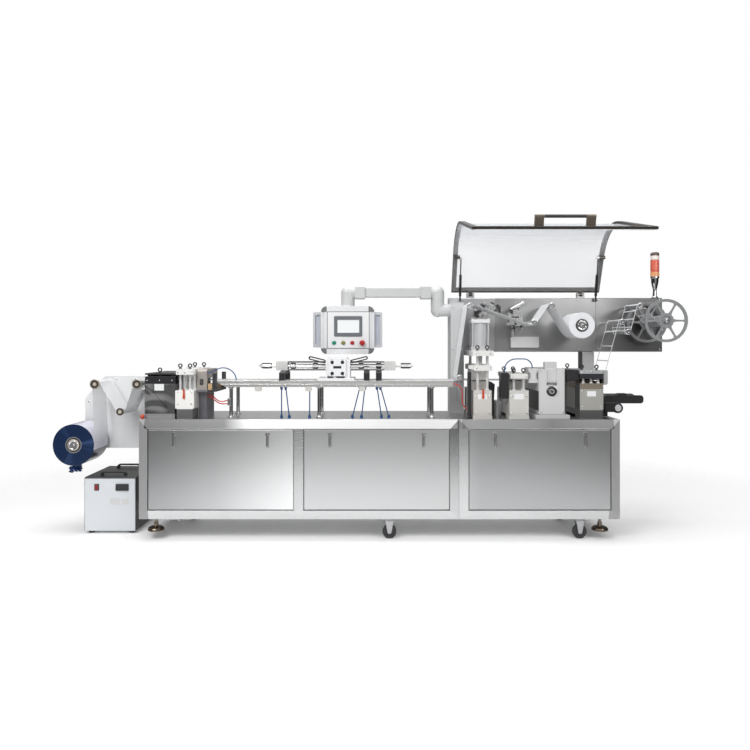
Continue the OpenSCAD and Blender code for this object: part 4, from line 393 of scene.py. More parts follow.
# finishes by the record's material slots
looks = {
    "cabinet_steel": brushedMetal("cabinetSteel", steel, **steelGrain),
    "door_steel": brushedMetal(
        "doorSteel", (0.38, 0.385, 0.39), rough=0.30, stretch=longGrain, depth=0.10, cloud=0.25,
        layers=[
            # painted reflections: the doors darker and lighter from left to right
            (acrossX(60, 520), (0.53, 0.535, 0.54), 0.3, 1.0),
            (acrossX(520, 1090), (0.86, 0.865, 0.87), 0.3, 1.0),
            (acrossX(1120, 1160), (0.60, 0.605, 0.61), 0.3, 1.0),
            (acrossX(2200, 2400), (0.47, 0.475, 0.48), 0.3, 1.0),
        ],
    ),
    "chrome": brushedMetal("chromePlate", (0.90, 0.90, 0.91), rough=0.12, stretch=fineGrain, depth=0.05),
    "bronze": brushedMetal("footBronze", (0.16, 0.13, 0.10), rough=0.25, stretch=fineGrain, depth=0.1),
    "zinc": brushedMetal("zincPlate", (0.42, 0.42, 0.43), rough=0.3, stretch=evenGrain, depth=0.15),
    "wheel_rubber": paintedMetal("wheelRubber", black, rough=0.6),
    "plate_steel": paintedMetal(
        "standSteel", (0.80, 0.805, 0.81), rough=0.30, mottle=0.10, bare=(0.9, 0.9, 0.9), metal=0.1,
        layers=[(inStreaks((6, 6, 0.4), 1.6, 0.45, 0.75, 0.4), (0.94, 0.945, 0.95), 0.3, 0.1)],
    ),
    "roller_metal": brushedMetal(
        "rollerMetal", (0.70, 0.71, 0.72), rough=0.22, stretch=(40, 4, 40), depth=0.1,
        layers=[(rollerCaps, (0.42, 0.36, 0.29), 0.3, 0.6)]
        + [(both(inRing(centre, inner, outer), rollerCaps), tint, 0.3, 0.4)
           for centre in filmRollers
           for inner, outer, tint in ((14, 27, (0.06, 0.05, 0.045)), (0, 14, (0.62, 0.56, 0.48)))],
    ),
    "clear_film": clearSheet("clearFilm", (0.94, 0.945, 0.96), alpha=0.07),
    "smoked_panel": paintedMetal(
        "smokedPanel", (0.075, 0.076, 0.076), rough=0.12, mottle=0.1, bare=(0.4, 0.4, 0.4), wearAndHighlight=0.4,
        layers=[
            # painted wavy reflections, the first layer lighter and the second darker
            (inStreaks((3, 3, 8), 0.9, 0.47, 0.62, 1.6), (0.20, 0.20, 0.20), 0.16, 0.0),
            (inStreaks((5, 5, 3), 1.1, 0.55, 0.66, 2.2), (0.03, 0.03, 0.032), 0.08, 0.0),
            (inBox(z=(0, 885)), (0.34, 0.34, 0.34), 0.3, 0.3),  # foot of the heating box
        ],
    ),
    "black_metal": paintedMetal(
        "blackMetal", black, rough=0.32,
        layers=[(inBox(x=(524, 600), z=(1110, 1200)), (0.70, 0.70, 0.70), 0.35, 0.0)],
    ),
    "cream_paint": paintedMetal(
        "millBlock", (0.62, 0.61, 0.58), rough=0.34, mottle=0.08, bare=(0.8, 0.8, 0.78), metal=0.15,
        layers=[
            (inBox(x=(-far, 372), z=(918, far)), (0.82, 0.81, 0.79), 0.34, 0.0),  # forming block
            (inBox(x=(-far, 372), z=(0, 918)), (0.15, 0.15, 0.155), 0.3, 0.2),
            (inBox(x=(374, 452)), (0.17, 0.17, 0.19), 0.32, 0.2),
            (inBox(x=(452, 520)), nearBlackAndShade, 0.35, 0.0),
            (inBox(x=(452, 486), z=(1098, far)), (0.74, 0.74, 0.73), 0.35, 0.0),
            (inBox(x=(452, 486), z=(1050, 1098)), (0.46, 0.31, 0.17), 0.4, 0.0),
            (inBox(x=(3000, far), z=(911, 1059)), (0.42, 0.415, 0.385), 0.32, 0.3),  # cutting block
            (inBox(x=(3000, far), z=(0, 911)), (0.11, 0.11, 0.11), 0.3, 0.3),
            (inBox(x=(3000, far), z=(1059, far)), (0.25, 0.215, 0.165), 0.34, 0.4),
            (inBox(x=(3000, 3117), y=(74, far), z=(0, 1100)), nearBlackAndShade, 0.3, 0.0),
        ],
    ),
    "grey_metal": brushedMetal("greyMetal", (0.16, 0.16, 0.17), stretch=evenGrain),
    "bright_steel": brushedMetal("trackSteel", (0.94, 0.93, 0.91), rough=0.28, stretch=longGrain, depth=0.04),
    "aluminium_profile": brushedMetal(
        "postChrome", (0.82, 0.82, 0.83), rough=0.14, stretch=(60, 60, 2), depth=0.06
    ),
    "white_paint": paintedMetal("whitePaint", (0.78, 0.78, 0.79)),
    "panel_steel": brushedMetal(
        "panelSteel", (0.44, 0.44, 0.44), stretch=(30, 30, 0.5), depth=0.07, cloud=0.35,
        layers=[
            # painted sheen in the lighter streaks, and a painted reflection that darkens the panel towards
            # the right
            (inStreaks((1.6, 1.6, 0.5), 1.2, 0.5, 0.8, 0.3), (0.58, 0.58, 0.58), 0.3, 1.0),
            (acrossX(3200, 3700), (0.18, 0.18, 0.18), 0.3, 1.0),
            (inBox(x=(2000, 2603)), (0.60, 0.60, 0.61), 0.3, 1.0),
        ],
    ),
    "warm_grey": paintedMetal(
        "warmGreyBlock", (0.60, 0.575, 0.545), rough=0.34, mottle=0.1, bare=(0.8, 0.8, 0.78), metal=0.15
    ),
    "light_grey": paintedMetal(
        "lightGreyBlock", (0.62, 0.62, 0.625), rough=0.32, bare=(0.85, 0.85, 0.85), metal=0.15
    ),
    "foil": paintedMetal("foilSheet", (0.80, 0.81, 0.82), rough=0.3, mottle=0.04),
    "lamp_red": paintedMetal(
        "lampLens", (0.80, 0.17, 0.12), rough=0.15, mottle=0.04, bare=(0.8, 0.3, 0.2), wearAndHighlight=0.1,
        layers=[
            (inBox(z=(1916, 1952)), (0.90, 0.42, 0.20), 0.2, 0.0),
            (inBox(z=(2048, 2081)), (0.92, 0.84, 0.80), 0.3, 0.0),
            (inBox(z=(2081, far)), (0.13, 0.09, 0.085), 0.3, 0.0),
        ],
    ),
    "arm_paint": paintedMetal("armPaint", (0.57, 0.58, 0.58), rough=0.30),
    "chiller_paint": paintedMetal("chillerPaint", (0.66, 0.685, 0.71), rough=0.4),
    "black_plastic": paintedMetal(
        "blackPlastic", (0.022, 0.022, 0.024), rough=0.40, bare=(0.3, 0.3, 0.3), wearAndHighlight=0.2
    ),
    "film_blue": paintedMetal(
        "filmBlue", (0.006, 0.019, 0.060), rough=0.18, mottle=0.1, bare=(0.1, 0.15, 0.3), wearAndHighlight=0.1,
        layers=[
            # painted sheen in wedges on the roll's face; painted sheen on the pale outer surface, with
            # painted shade on its lower part
            (inFan(filmAxis, 0.55, 0.9), (0.045, 0.085, 0.20), 0.22, 0.0),
            (inRing(filmAxis, rollRim, pastRim), (0.66, 0.66, 0.76), 0.16, 0.0),
            (both(inRing(filmAxis, rollRim, pastRim), inBox(z=(0, 610))), (0.03, 0.035, 0.06), 0.16, 0.0),
            (inRing(filmAxis, 52, 60), (0.36, 0.37, 0.40), 0.2, 0.6),
            (inRing(filmAxis, 42, 52), black, 0.3, 0.0),
            (inRing(filmAxis, 20, 42), (0.62, 0.54, 0.44), 0.4, 0.0),
        ],
    ),
    "cast_grey": paintedMetal("castGrey", (0.24, 0.245, 0.25), rough=0.32),
    "screen_black": paintedMetal(
        "screenBlack", (0.15, 0.16, 0.175), rough=0.25, mottle=0.04, bare=(0.3, 0.3, 0.3), wearAndHighlight=0.1,
        layers=[
            (inBox(x=(1374, 1540), y=(-far, 411.5), z=(1468, 1566)), (0.84, 0.86, 0.86), 0.15, 0.0),  # screen
            (inBox(x=(1300, 1380), z=(1360, 1420)), (0.01, 0.22, 0.15), 0.3, 0.0),  # buttons
            (inBox(x=(1380, 1450), z=(1360, 1420)), (0.22, 0.20, 0.06), 0.3, 0.0),
            (inBox(x=(1450, 1620), z=(1360, 1420)), (0.42, 0.02, 0.02), 0.3, 0.0),
        ],
    ),
    "dark_grey_plastic": paintedMetal("darkGreyPlastic", (0.16, 0.165, 0.17)),
    "bronze_bar": brushedMetal("guardBronze", (0.13, 0.12, 0.11)),
    "clear_acrylic": clearSheet("clearAcrylic", (0.86, 0.88, 0.92), alpha=0.15),
    "lever_red": paintedMetal("leverRed", (0.50, 0.055, 0.02), rough=0.3),
    "hose_blue": paintedMetal("hoseBlue", (0.008, 0.06, 0.20), rough=0.2),
    "hose_red": paintedMetal("hoseRed", (0.62, 0.035, 0.02), rough=0.2),
}
columnShadedSide = machineX(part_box("right_column")[0]) + 1  # just right of the column's left side, which is painted as shade
handleLeft, handleRight = [machineX(corner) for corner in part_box("guard_handle")]
postWidth = 62
handlePosts = ((handleLeft - 1, handleLeft + postWidth), (handleRight - postWidth, handleRight + 1))
feederBlocks = ((930, 1016), (1727, 1813))
feederKnobs = ((-far, 930), (1813, far))
railLow = 788  # bottom of the cabinet's top rail
railBack = 60
leftStile = (0.32, 0.32, 0.325)
rightStile = (0.34, 0.34, 0.345)


def blackBolts(height):  # layer that blackens the eyebolts above a cap plate
    return inBox(z=(height, far)), black, 0.3, 0.0


def railReflectionTones(left, right, tones):  # layers of painted reflection that make a cabinet's top rail darker and lighter from left to right
    rail = inBox(x=(left, right), y=(-far, railBack), z=(railLow, far))
    return [(both(rail, acrossX(start, end)), (tone, tone, tone), 0.3, 1.0) for start, end, tone in tones]


# nodes whose finish differs from their slot's plain one
ownLooks = {
    "foil_roll": paintedMetal(
        "foilRollSide", (0.78, 0.79, 0.81), rough=0.3, mottle=0.04, wearAndHighlight=0.2,
        layers=[(inRing(foilAxis, 30, 47), (0.03, 0.03, 0.03), 0.3, 0.0)],
    ),
    "feeder_rails": brushedMetal(
        "railFinish", (0.86, 0.86, 0.87), rough=0.16, depth=0.06,
        layers=[(inBox(x=(1016, 1727), z=line), (0.015, 0.015, 0.017), 0.3, 0.0)
                for line in ((1184, 1191), (1201, 1211), (1227, 1237), (1249, 1256))]
        + [(inBox(x=block), (0.60, 0.60, 0.59), 0.35, 0.0) for block in feederBlocks]
        # knobs near black with a painted highlight band across their middle
        + [(inBox(x=knob, z=band), tint, 0.2, 0.5)
           for knob in feederKnobs
           for band, tint in ((everywhere, (0.035, 0.035, 0.037)), ((1212, 1229), (0.85, 0.85, 0.85)))],
    ),
    "feeder_block": paintedMetal(
        "feederPaint", (0.78, 0.78, 0.79),
        # near black in the recess between the screws: painted shade
        layers=[(inBox(x=(1330, 1440), y=(196.4, 204.8), z=(1150, 1262)), nearBlackAndShade, 0.3, 0.0)],
    ),
    "coding_unit": brushedMetal(
        "coderFinish", (0.86, 0.86, 0.86), rough=0.20, stretch=evenGrain, depth=0.1,
        layers=[
            (inStreaks((9, 9, 14), 1.4, 0.52, 0.58, 0.8), (0.05, 0.05, 0.05), 0.3, 0.2),
            (inBox(x=(2700, 2960), y=(500, far), z=(1340, 1440)), (0.97, 0.97, 0.97), 0.35, 0.0),
        ],
    ),
    "hmi_box": paintedMetal("panelBox", (0.72, 0.73, 0.74), rough=0.32),
    "left_column": paintedMetal("columnPaint", (0.58, 0.585, 0.59), rough=0.32),
    "forming_head": paintedMetal(
        "formingHead", (0.36, 0.33, 0.30), rough=0.32, mottle=0.1, bare=(0.7, 0.7, 0.68), metal=0.2,
        layers=[(inBox(x=(-far, 373)), (0.78, 0.775, 0.76), 0.34, 0.0), blackBolts(1202.5)],
    ),
    "sealing_plates": paintedMetal(
        "sealingPlates", (0.76, 0.755, 0.735), rough=0.32, bare=(0.9, 0.9, 0.9), metal=0.1,
        layers=[blackBolts(1333.5)],
    ),
    "cooling_plate": paintedMetal(
        "coolingPlate", (0.74, 0.735, 0.715), rough=0.32, bare=(0.9, 0.9, 0.9), metal=0.1,
        layers=[blackBolts(1169.5)],
    ),
    "cutting_head": paintedMetal(
        "cuttingHead", (0.40, 0.405, 0.41), rough=0.32, bare=(0.8, 0.8, 0.8), metal=0.2,
        layers=[(inBox(x=(-far, 3290), z=(0, 1170)), (0.025, 0.025, 0.03), 0.3, 0.0), blackBolts(1193.5)],
    ),
    "sealing_cylinder": paintedMetal(
        "cylinderFinish", (0.78, 0.785, 0.80), rough=0.18, mottle=0.05, bare=(0.9, 0.9, 0.9), metal=0.4,
        layers=[(inBox(x=(2360, 2520), y=(220, 380), z=(1537, 1562)), (0.78, 0.78, 0.78), 0.35, 0.0)],
    ),
    "guide_columns": paintedMetal(
        "columnChrome", (0.86, 0.86, 0.86), rough=0.18, mottle=0.04, bare=(0.95, 0.95, 0.95), metal=0.35
    ),
    "signal_base": brushedMetal("stemChrome", (0.70, 0.70, 0.71), rough=0.14, stretch=fineGrain, depth=0.05),
    "right_column": paintedMetal(
        "rightColumn", (0.56, 0.56, 0.565), rough=0.3, mottle=0.1, bare=(0.8, 0.8, 0.8), metal=0.15,
        # the column's left side painted as shade
        layers=[(inBox(x=(-far, columnShadedSide)), (0.07, 0.07, 0.075), 0.3, 0.3)],
    ),
    "right_cabinet": brushedMetal(
        "rightCabinetSteel", steel, **steelGrain,
        # painted reflections along the top rail
        layers=railReflectionTones(2272, 3335, [(2260, 2270, 0.36), (2350, 2900, 0.11)])
        + [(inBox(x=(3300, far), z=(0, railLow)), rightStile, 0.35, 0.2),
           (inBox(x=(3335, far), z=(railLow, far)), rightStile, 0.35, 0.2)],
    ),
    "left_cabinet": brushedMetal(
        "leftCabinetSteel", steel, **steelGrain,
        # painted reflections along the top rail
        layers=railReflectionTones(40, 2240, [(30, 40, 0.18), (600, 800, 0.65), (1000, 1600, 0.95)])
        + [(inBox(x=(-far, 68), z=(0, railLow)), leftStile, 0.35, 0.2),
           (inBox(x=(-far, 40), z=(railLow, far)), leftStile, 0.35, 0.2)],
    ),
    "traction_housing": paintedMetal(
        "tractionPaint", (0.62, 0.62, 0.625), rough=0.32, bare=(0.85, 0.85, 0.85), metal=0.15,
        layers=[
            (inBox(x=(2780, 2825), y=(76, far), z=(905, 1045)), nearBlackAndShade, 0.3, 0.0),
            (inBox(x=(2884, 2943), y=(-far, 75), z=(1109, 1195)), (0.36, 0.36, 0.37), 0.4, 0.2),
            (inBox(x=(2880, 2946), y=(-far, 75), z=(1087, 1109)), black, 0.3, 0.0),
            (both(inRing(dialAxis, 17, 37), dialFace), (0.025, 0.025, 0.028), 0.25, 0.0),
            (both(inRing(dialAxis, 0, 13), dialFace), (0.10, 0.10, 0.105), 0.2, 0.6),
        ],
    ),
    "outfeed_chute": paintedMetal(
        "outfeedBlack", black, rough=0.32,
        layers=[(both(inRing(motorAxis, 0, 24), motorFace), (0.78, 0.79, 0.81), 0.2, 0.4)],
    ),
    "hmi_handles": paintedMetal("panelGrip", (0.54, 0.545, 0.56), rough=0.3),
    "door_handles": brushedMetal("doorGrip", (0.62, 0.62, 0.63), rough=0.14, stretch=fineGrain, depth=0.05),
    "guard_handle": paintedMetal(
        "guardHandle", black, bare=(0.4, 0.35, 0.3),
        layers=[(inBox(x=post), (0.15, 0.125, 0.10), 0.3, 0.6) for post in handlePosts],
    ),
}
slotOf = {part["node"]: part["material_slot"] for part in frame["record"]["subparts"]}
for name, node in nodes.items():
    for materialSlot in node.material_slots:
        materialSlot.material = ownLooks.get(name, looks[slotOf[name]])
print("finishes given")


# free air hoses, along the routes of their solids
hoses = {
    "diameter": 0.008,
    "blue_air_hoses": {
        "formingHose": [
            (446, 156, 1175), (462, 156, 1175), (478, 156, 1179), (494, 156, 1187), (511, 156, 1196),
            (529, 156, 1203), (547, 156, 1208), (566, 156, 1209), (585, 156, 1206), (603, 156, 1199),
            (619, 156, 1189), (633, 156, 1176), (644, 156, 1161), (651, 156, 1145), (654, 156, 1130),
            (654, 156, 1115),
        ],
        "coolingHose": [
            (2590, 130, 1175), (2590, 130, 1190), (2593, 130, 1212), (2601, 130, 1232), (2615, 130, 1249),
            (2632, 130, 1263), (2652, 130, 1271), (2674, 130, 1274), (2693, 130, 1274), (2712, 130, 1274),
            (2732, 130, 1274), (2755, 130, 1269), (2774, 130, 1256), (2787, 130, 1237), (2792, 130, 1214),
            (2792, 130, 1206),
        ],
    },
    "red_air_hoses": {
        "upperRedHose": [
            (432, 200, 1012), (446, 200, 1012), (459, 199, 1009), (471, 198, 1003), (482, 197, 995),
            (492, 196, 986), (502, 195, 977), (513, 194, 970), (525, 193, 965), (538, 192, 962),
            (551, 191, 962), (563, 190, 965), (573, 188, 968), (581, 188, 970), (590, 188, 970),
        ],
        "lowerRedHose": [
            (432, 222, 990), (445, 222, 990), (458, 221, 987), (470, 219, 981), (481, 216, 973),
            (492, 212, 965), (503, 207, 958), (515, 201, 952), (527, 194, 948), (540, 187, 946),
            (552, 181, 946), (563, 177, 946), (573, 174, 947), (582, 173, 947), (590, 173, 947),
        ],
        "sealingRedHose": [
            (2224, 165, 1092), (2232, 165, 1092), (2248, 165, 1090), (2262, 164, 1084), (2274, 164, 1074),
            (2284, 163, 1062), (2290, 162, 1048), (2292, 161, 1032), (2292, 160, 1010), (2292, 159, 988),
            (2292, 158, 966), (2294, 157, 950), (2300, 156, 936), (2310, 155, 924), (2322, 154, 914),
            (2336, 153, 908), (2352, 152, 906), (2360, 152, 906),
        ],
    },
}


def makeHose(name, route, node):
    line = [at(*point) for point in route]
    curve = bpy.data.curves.new(name, "CURVE")
    curve.dimensions = "3D"
    curve.bevel_depth = hoses["diameter"] / 2
    curve.bevel_resolution = 3
    curve.use_fill_caps = True
    spline = curve.splines.new("POLY")
    spline.points.add(len(line) - 1)
    for point, place in zip(spline.points, line):
        point.co = (*place, 1)
    curve.materials.append(looks[slotOf[node]])
    hose = bpy.data.objects.new(name, curve)
    scene.collection.objects.link(hose)
    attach(hose, "machine")
    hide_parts(node)


for node in ("blue_air_hoses", "red_air_hoses"):
    for name, route in hoses[node].items():
        makeHose(name, route, node)
print("air hoses laid")


# screws and bare plates
def lathe(mesh, profile, place, axis, sides=14):  # turned shape on a face, axis pointing out of it
    turnTo = Vector((0, 0, 1)).rotation_difference(Vector(axis)).to_matrix()
    rings = []
    for radius, rise in profile:
        ring = []
        for step in range(sides):
            angle = step * math.tau / sides
            local = Vector((radius * math.cos(angle), radius * math.sin(angle), rise)) / 1000
            ring.append(mesh.verts.new(place + turnTo @ local))
        rings.append(ring)
    for first, second in zip(rings, rings[1:]):
        for step in range(sides):
            following = (step + 1) % sides
            mesh.faces.new((first[step], first[following], second[following], second[step]))
    mesh.faces.new(rings[-1])


def keepMesh(name, mesh, material, body):
    data = bpy.data.meshes.new(name)
    mesh.to_mesh(data)
    mesh.free()
    data.materials.append(material)
    piece = bpy.data.objects.new(name, data)
    scene.collection.objects.link(piece)
    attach(piece, body)
    return piece


def makeScrews(name, places, axis, size):
    profile = [
        (size, 0), (size, size * 0.8), (size * 0.86, size), (size * 0.5, size), (size * 0.45, size * 0.4),
    ]  # side, rounded edge, rim of the socket and its floor
    mesh = bmesh.new()
    for place in places:
        lathe(mesh, profile, at(*place), axis)
    keepMesh(name, mesh, looks["chrome"], "machine")


def corners(x0, x1, z0, z1, y):
    return [(x, y, z) for x in (x0, x1) for z in (z0, z1)]


front = (0, -1, 0)
up = (0, 0, 1)
stationFace = 70  # Y of the stations' fronts, and of the other fronts below
standFace = 455
columnFace = 426
panelFace = 560
trackFace = 145
feederFace = 196
hmiFace = 415
chillerFace = 185
screwSets = {
    "formingScrews": ([(x, stationFace, z) for x in (258, 354) for z in (955, 1040)], front, 6),
    "formingCapScrews": ([(x, stationFace, 1182) for x in (256, 307, 358)], front, 6),
    "heaterScrews": ([(x, stationFace, 1123) for x in (40, 129, 218)], front, 5),
    "sealingScrews": (corners(2374, 2475, 890, 1010, stationFace), front, 6),
    "sealingPlateScrews": (corners(2380, 2480, 1210, 1315, stationFace), front, 6),
    "coolingScrews": (corners(2630, 2738, 890, 1010, stationFace), front, 6),
    "coolingPlateScrews": ([(x, stationFace, 1152) for x in (2636, 2732)], front, 6),
    "tractionScrews": (corners(2838, 2997, 895, 1190, stationFace), front, 6),
    "cuttingScrews": (corners(3132, 3266, 930, 1050, stationFace), front, 6),
    "cuttingPlateScrews": ([(x, stationFace, 1182) for x in (3130, 3199, 3268)], front, 5),
    "standScrews": ([(x, standFace, z) for x in (-540, -420, -30) for z in (600, 940)], front, 7),
    "standTopScrews": ([(x, standFace, 1110) for x in (-330, -180, -30)], front, 7),
    "columnScrews": (corners(2258, 2326, 1340, 1660, columnFace), front, 7),
    "panelScrews": ([(x, panelFace, z) for x in (2630, 3260, 3420, 3900) for z in (1340, 1726)], front, 6),
    "trackScrews": ([(x, trackFace, 1083) for x in range(620, 2200, 130)], front, 5),
    "feederScrews": (corners(1345, 1424, 1150, 1268, feederFace), front, 6),
    "capTopScrews": ([(x, 300, 1202) for x in (262, 307, 352)], up, 8),
    "legScrews": ([(x + side, 180, 856.5) for x in (613, 1254, 2073) for side in (-18, 18)], up, 4),
}
for name, (places, axis, size) in screwSets.items():
    makeScrews(name, places, axis, size)


cornerSteps = 4


def makePlate(name, x, z, face, slot, thickness=1, corner=2, body="machine", finish=None):  # round corners
    x0, x1 = x
    z0, z1 = z
    mesh = bmesh.new()
    rim = []
    for cx, cz, start in ((x1, z1, 0), (x0, z1, 90), (x0, z0, 180), (x1, z0, 270)):
        inX = cx - corner if cx == x1 else cx + corner
        inZ = cz - corner if cz == z1 else cz + corner
        for step in range(cornerSteps + 1):
            angle = math.radians(start + step * 90 / cornerSteps)
            rim.append((inX + corner * math.cos(angle), inZ + corner * math.sin(angle)))
    back = [mesh.verts.new(at(rimX, face, rimZ)) for rimX, rimZ in rim]
    outer = [mesh.verts.new(at(rimX, face - thickness, rimZ)) for rimX, rimZ in rim]
    mesh.faces.new(outer)
    for step in range(len(rim)):
        following = (step + 1) % len(rim)
        mesh.faces.new((back[step], back[following], outer[following], outer[step]))
    bmesh.ops.recalc_face_normals(mesh, faces=mesh.faces)
    keepMesh(name, mesh, finish or looks[slot], body)


gripLow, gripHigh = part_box("hmi_handles")  # ends of the panel's two handles
gripLeft, gripRight = machineX(gripLow), machineX(gripHigh)
seam = 0.6
gripWindow = {
    "z": (gripLow.z * 1000 + 20, gripHigh.z * 1000 - 20), "face": 452, "slot": "light_grey",
    "thickness": 2, "corner": 3, "body": "operator_panel",
    "finish": paintedMetal("windowGrey", (0.50, 0.53, 0.60), rough=0.3),
}
# dark pads in the feeder's recess: painted shade
feederShadePad = {"z": (1133, 1145), "face": 210, "slot": "black_metal", "thickness": 6}
trackClip = {"z": (1040, 1072), "face": 162, "slot": "cream_paint", "thickness": 22, "corner": 8}
plates = {
    "heaterPlate": {
        "x": (92, 160), "z": (1050, 1097), "face": stationFace, "slot": "white_paint",
        "thickness": 2, "corner": 4,
    },
    "sealingPlate": {"x": (2391, 2455), "z": (987, 1023), "face": stationFace, "slot": "white_paint"},
    "coolingPlate": {"x": (2649, 2716), "z": (987, 1027), "face": stationFace, "slot": "white_paint"},
    "cuttingPlate": {"x": (3167, 3230), "z": (1008, 1046), "face": stationFace, "slot": "white_paint"},
    "panelSeam": {
        "x": (1293, 1619), "z": (1347, 1631), "face": hmiFace, "slot": "dark_grey_plastic",
        "thickness": seam, "corner": 5, "body": "operator_panel",
    },
    "panelCover": {
        "x": (1298, 1614), "z": (1352, 1626), "face": hmiFace - seam, "slot": "white_paint",
        "thickness": 1.5, "corner": 4, "body": "operator_panel",
    },
    "leftGripWindow": {"x": (gripLeft + 14, gripLeft + 58), **gripWindow},
    "rightGripWindow": {"x": (gripRight - 58, gripRight - 14), **gripWindow},
    "feederLeftPad": {"x": (1311, 1352), **feederShadePad},
    "feederRightPad": {"x": (1378, 1437), **feederShadePad},
    "chillerFront": {
        "x": (-452, -90), "z": (26, 394), "face": chillerFace, "slot": "chiller_paint",
        "thickness": 1.5, "corner": 5,
    },
    "chillerDisplay": {
        "x": (-227, -134), "z": (314, 362), "face": chillerFace, "slot": "black_plastic",
        "thickness": 10, "corner": 3,
    },
    "chillerSwitchFrame": {
        "x": (-384, -350), "z": (314, 362), "face": chillerFace - 1, "slot": "black_plastic",
        "thickness": 4, "corner": 3,
    },
    "chillerSwitch": {
        "x": (-378, -356), "z": (320, 356), "face": chillerFace - 4.5, "slot": "lever_red",
        "thickness": 3, "corner": 3, "finish": paintedMetal("switchRed", (0.26, 0.02, 0.02), rough=0.3),
    },
    "chillerPlate": {"x": (-270, -198), "z": (212, 258), "face": chillerFace - 1, "slot": "light_grey"},
    "chillerSmallPlate": {"x": (-182, -134), "z": (212, 254), "face": chillerFace - 1, "slot": "light_grey"},
    "leftTrackClip": {"x": (792, 838), **trackClip},
    "middleTrackClip": {"x": (1155, 1201), **trackClip},
    "rightTrackClip": {"x": (1545, 1591), **trackClip},
}
for name, settings in plates.items():
    makePlate(name, **settings)
print("screws and plates set")


# loose, crumpled end of the film under its roll
tail = {
    "x": -535, "front": 186, "back": 296, "top": 489, "drop": 11,  # millimetres
    "strips": 16, "folds": 5, "thickness": 0.0012,
    "section": ((-1, -1), (1, -1), (1, 1), (-1, 1)),
}


def makeFilmTail():
    mesh = bmesh.new()
    for strip in range(tail["strips"]):
        share = strip / (tail["strips"] - 1)
        depth = tail["front"] + share * (tail["back"] - tail["front"])
        middle = at(tail["x"] + random.uniform(-26, 34), depth, tail["top"])
        half = random.uniform(0.012, 0.020)
        lean = random.uniform(-1.4, 1.4)
        rings = []
        for fold in range(tail["folds"]):
            sway = (-1 if fold % 2 else 1) * random.uniform(0.002, 0.008)
            place = middle + Vector((sway, random.uniform(-0.004, 0.004), 0))
            across = Vector((lean, 1, random.uniform(-0.2, 0.2))).normalized() * half
            thick = Vector((tail["thickness"] / 2, 0, 0))
            rings.append([mesh.verts.new(place + across * a + thick * b) for a, b in tail["section"]])
            middle = middle - Vector((0, 0, random.uniform(0.8, 1.2) * tail["drop"] / 1000))
            half *= random.uniform(0.75, 1.05)
        for first, second in zip(rings, rings[1:]):
            for side in range(4):
                following = (side + 1) % 4
                mesh.faces.new((first[side], first[following], second[following], second[side]))
        mesh.faces.new(rings[0][::-1])
        mesh.faces.new(rings[-1])
    bmesh.ops.recalc_face_normals(mesh, faces=mesh.faces)
    keepMesh("filmTail", mesh, filmScrap, "film_roll")


# the lighter blue on the strips' edges is painted highlight
filmScrap = paintedMetal(
    "filmScrap", (0.012, 0.035, 0.14), rough=0.2, mottle=0.3, bare=(0.2, 0.3, 0.5), wearAndHighlight=0.4
)
makeFilmTail()
print("film end hung")


# floor and studio light
studio = {
    "floorSize": 16, "floorTone": 0.94, "floorRough": 0.9, "glow": 0.06, "near": 2.2, "away": 4.5,
    "skyTones": (0.34, 1.0), "skyHeights": (0.02, 0.55),
    "cloudTones": (0.55, 1.35), "cloudRange": (0.3, 0.7), "cloudScale": 2.2,
    "sides": [
        (0.10, 0.02), (0.22, 0.05), (0.29, 0.36), (0.36, 0.44), (0.43, 0.95), (0.5, 0.74), (0.56, 0.70),
        (0.61, 0.42), (0.70, 0.40), (0.77, 0.08), (0.90, 0.02),
    ],  # brightness of the room from left to right
    "roomGain": 1.4,
}
softboxes = {
    "keySoftbox": {"place": (-900, -3400, 4200), "aim": (1700, 200, 900), "size": (3.0, 2.0), "power": 165},
    "fillSoftbox": {"place": (4800, -3000, 3200), "aim": (1900, 200, 900), "size": (2.5, 2.0), "power": 70},
    "topSoftbox": {"place": (1700, 300, 4600), "aim": (1700, 300, 900), "size": (4.5, 1.5), "power": 100},
}


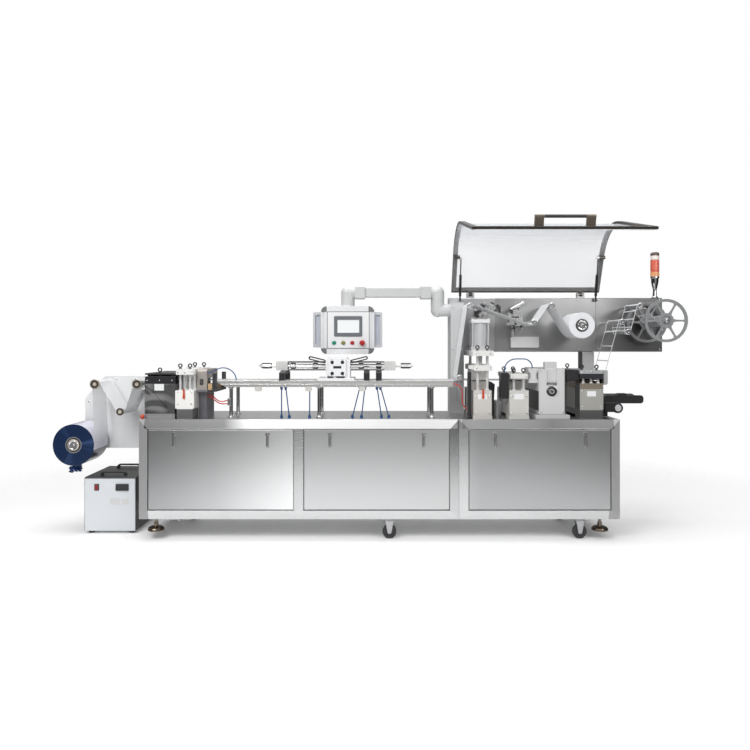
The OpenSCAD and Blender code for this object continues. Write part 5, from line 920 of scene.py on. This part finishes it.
def makeFloor():
    bpy.ops.mesh.primitive_plane_add(size=studio["floorSize"])
    floor = bpy.context.object
    floor.name = "studioFloor"
    material, tree, shader = newMaterial("studioFloor")
    away = addNode(tree, "ShaderNodeVectorMath", operation="LENGTH")
    tree.links.new(objectPlace(tree), away.inputs[0])
    fade = spread(tree, away.outputs["Value"], 1.0, 0.0, studio["near"], studio["away"])
    tone = studio["floorTone"]
    feed(tree, shader, Base_Color=(tone, tone, tone, 1), Roughness=studio["floorRough"], Alpha=fade)
    feed(tree, shader, Emission_Color=(1, 1, 1, 1), Emission_Strength=studio["glow"])
    floor.data.materials.append(material)


def makeSky():
    world = bpy.data.worlds.new("studioSky")
    scene.world = world
    world.use_nodes = True
    tree = world.node_tree
    light = addNode(tree, "ShaderNodeLightPath")
    way = addNode(tree, "ShaderNodeTexCoord").outputs["Generated"]
    parts = addNode(tree, "ShaderNodeSeparateXYZ")
    tree.links.new(way, parts.inputs[0])
    rise = spread(tree, parts.outputs[2], *studio["skyTones"], *studio["skyHeights"])
    patches = noiseAt(tree, way, studio["cloudScale"], detail=1.0)
    cloud = spread(tree, patches, *studio["cloudTones"], *studio["cloudRange"])
    sides = addNode(tree, "ShaderNodeValToRGB")
    sides.color_ramp.interpolation = "B_SPLINE"
    for place, _ in studio["sides"][2:]:  # a new ramp already has two
        sides.color_ramp.elements.new(place)
    for element, (place, tone) in zip(sides.color_ramp.elements, studio["sides"]):
        element.position = place
        element.color = (tone, tone, tone, 1)
    feed(tree, sides, Fac=spread(tree, parts.outputs[0], 0.0, 1.0, -1.0, 1.0))
    swing = mathNode(tree, "MULTIPLY", sides.outputs["Color"], studio["roomGain"])
    room = mathNode(tree, "MULTIPLY", mathNode(tree, "MULTIPLY", rise, cloud), swing)
    seen = mathNode(tree, "MAXIMUM", light.outputs["Is Camera Ray"], light.outputs["Is Transmission Ray"])
    feed(tree, tree.nodes["Background"], Color=(1, 1, 1, 1), Strength=blendValue(tree, seen, room, 1.0))


def makeSoftbox(name, place, aim, size, power):
    lamp = bpy.data.lights.new(name, "AREA")
    lamp.shape = "RECTANGLE"
    lamp.size, lamp.size_y = size
    lamp.energy = power
    box = bpy.data.objects.new(name, lamp)
    box.location = at(*place)
    box.rotation_euler = (at(*aim) - at(*place)).to_track_quat("-Z", "Y").to_euler()
    scene.collection.objects.link(box)


makeFloor()
makeSky()
for name, settings in softboxes.items():
    makeSoftbox(name, **settings)
print("studio lit")
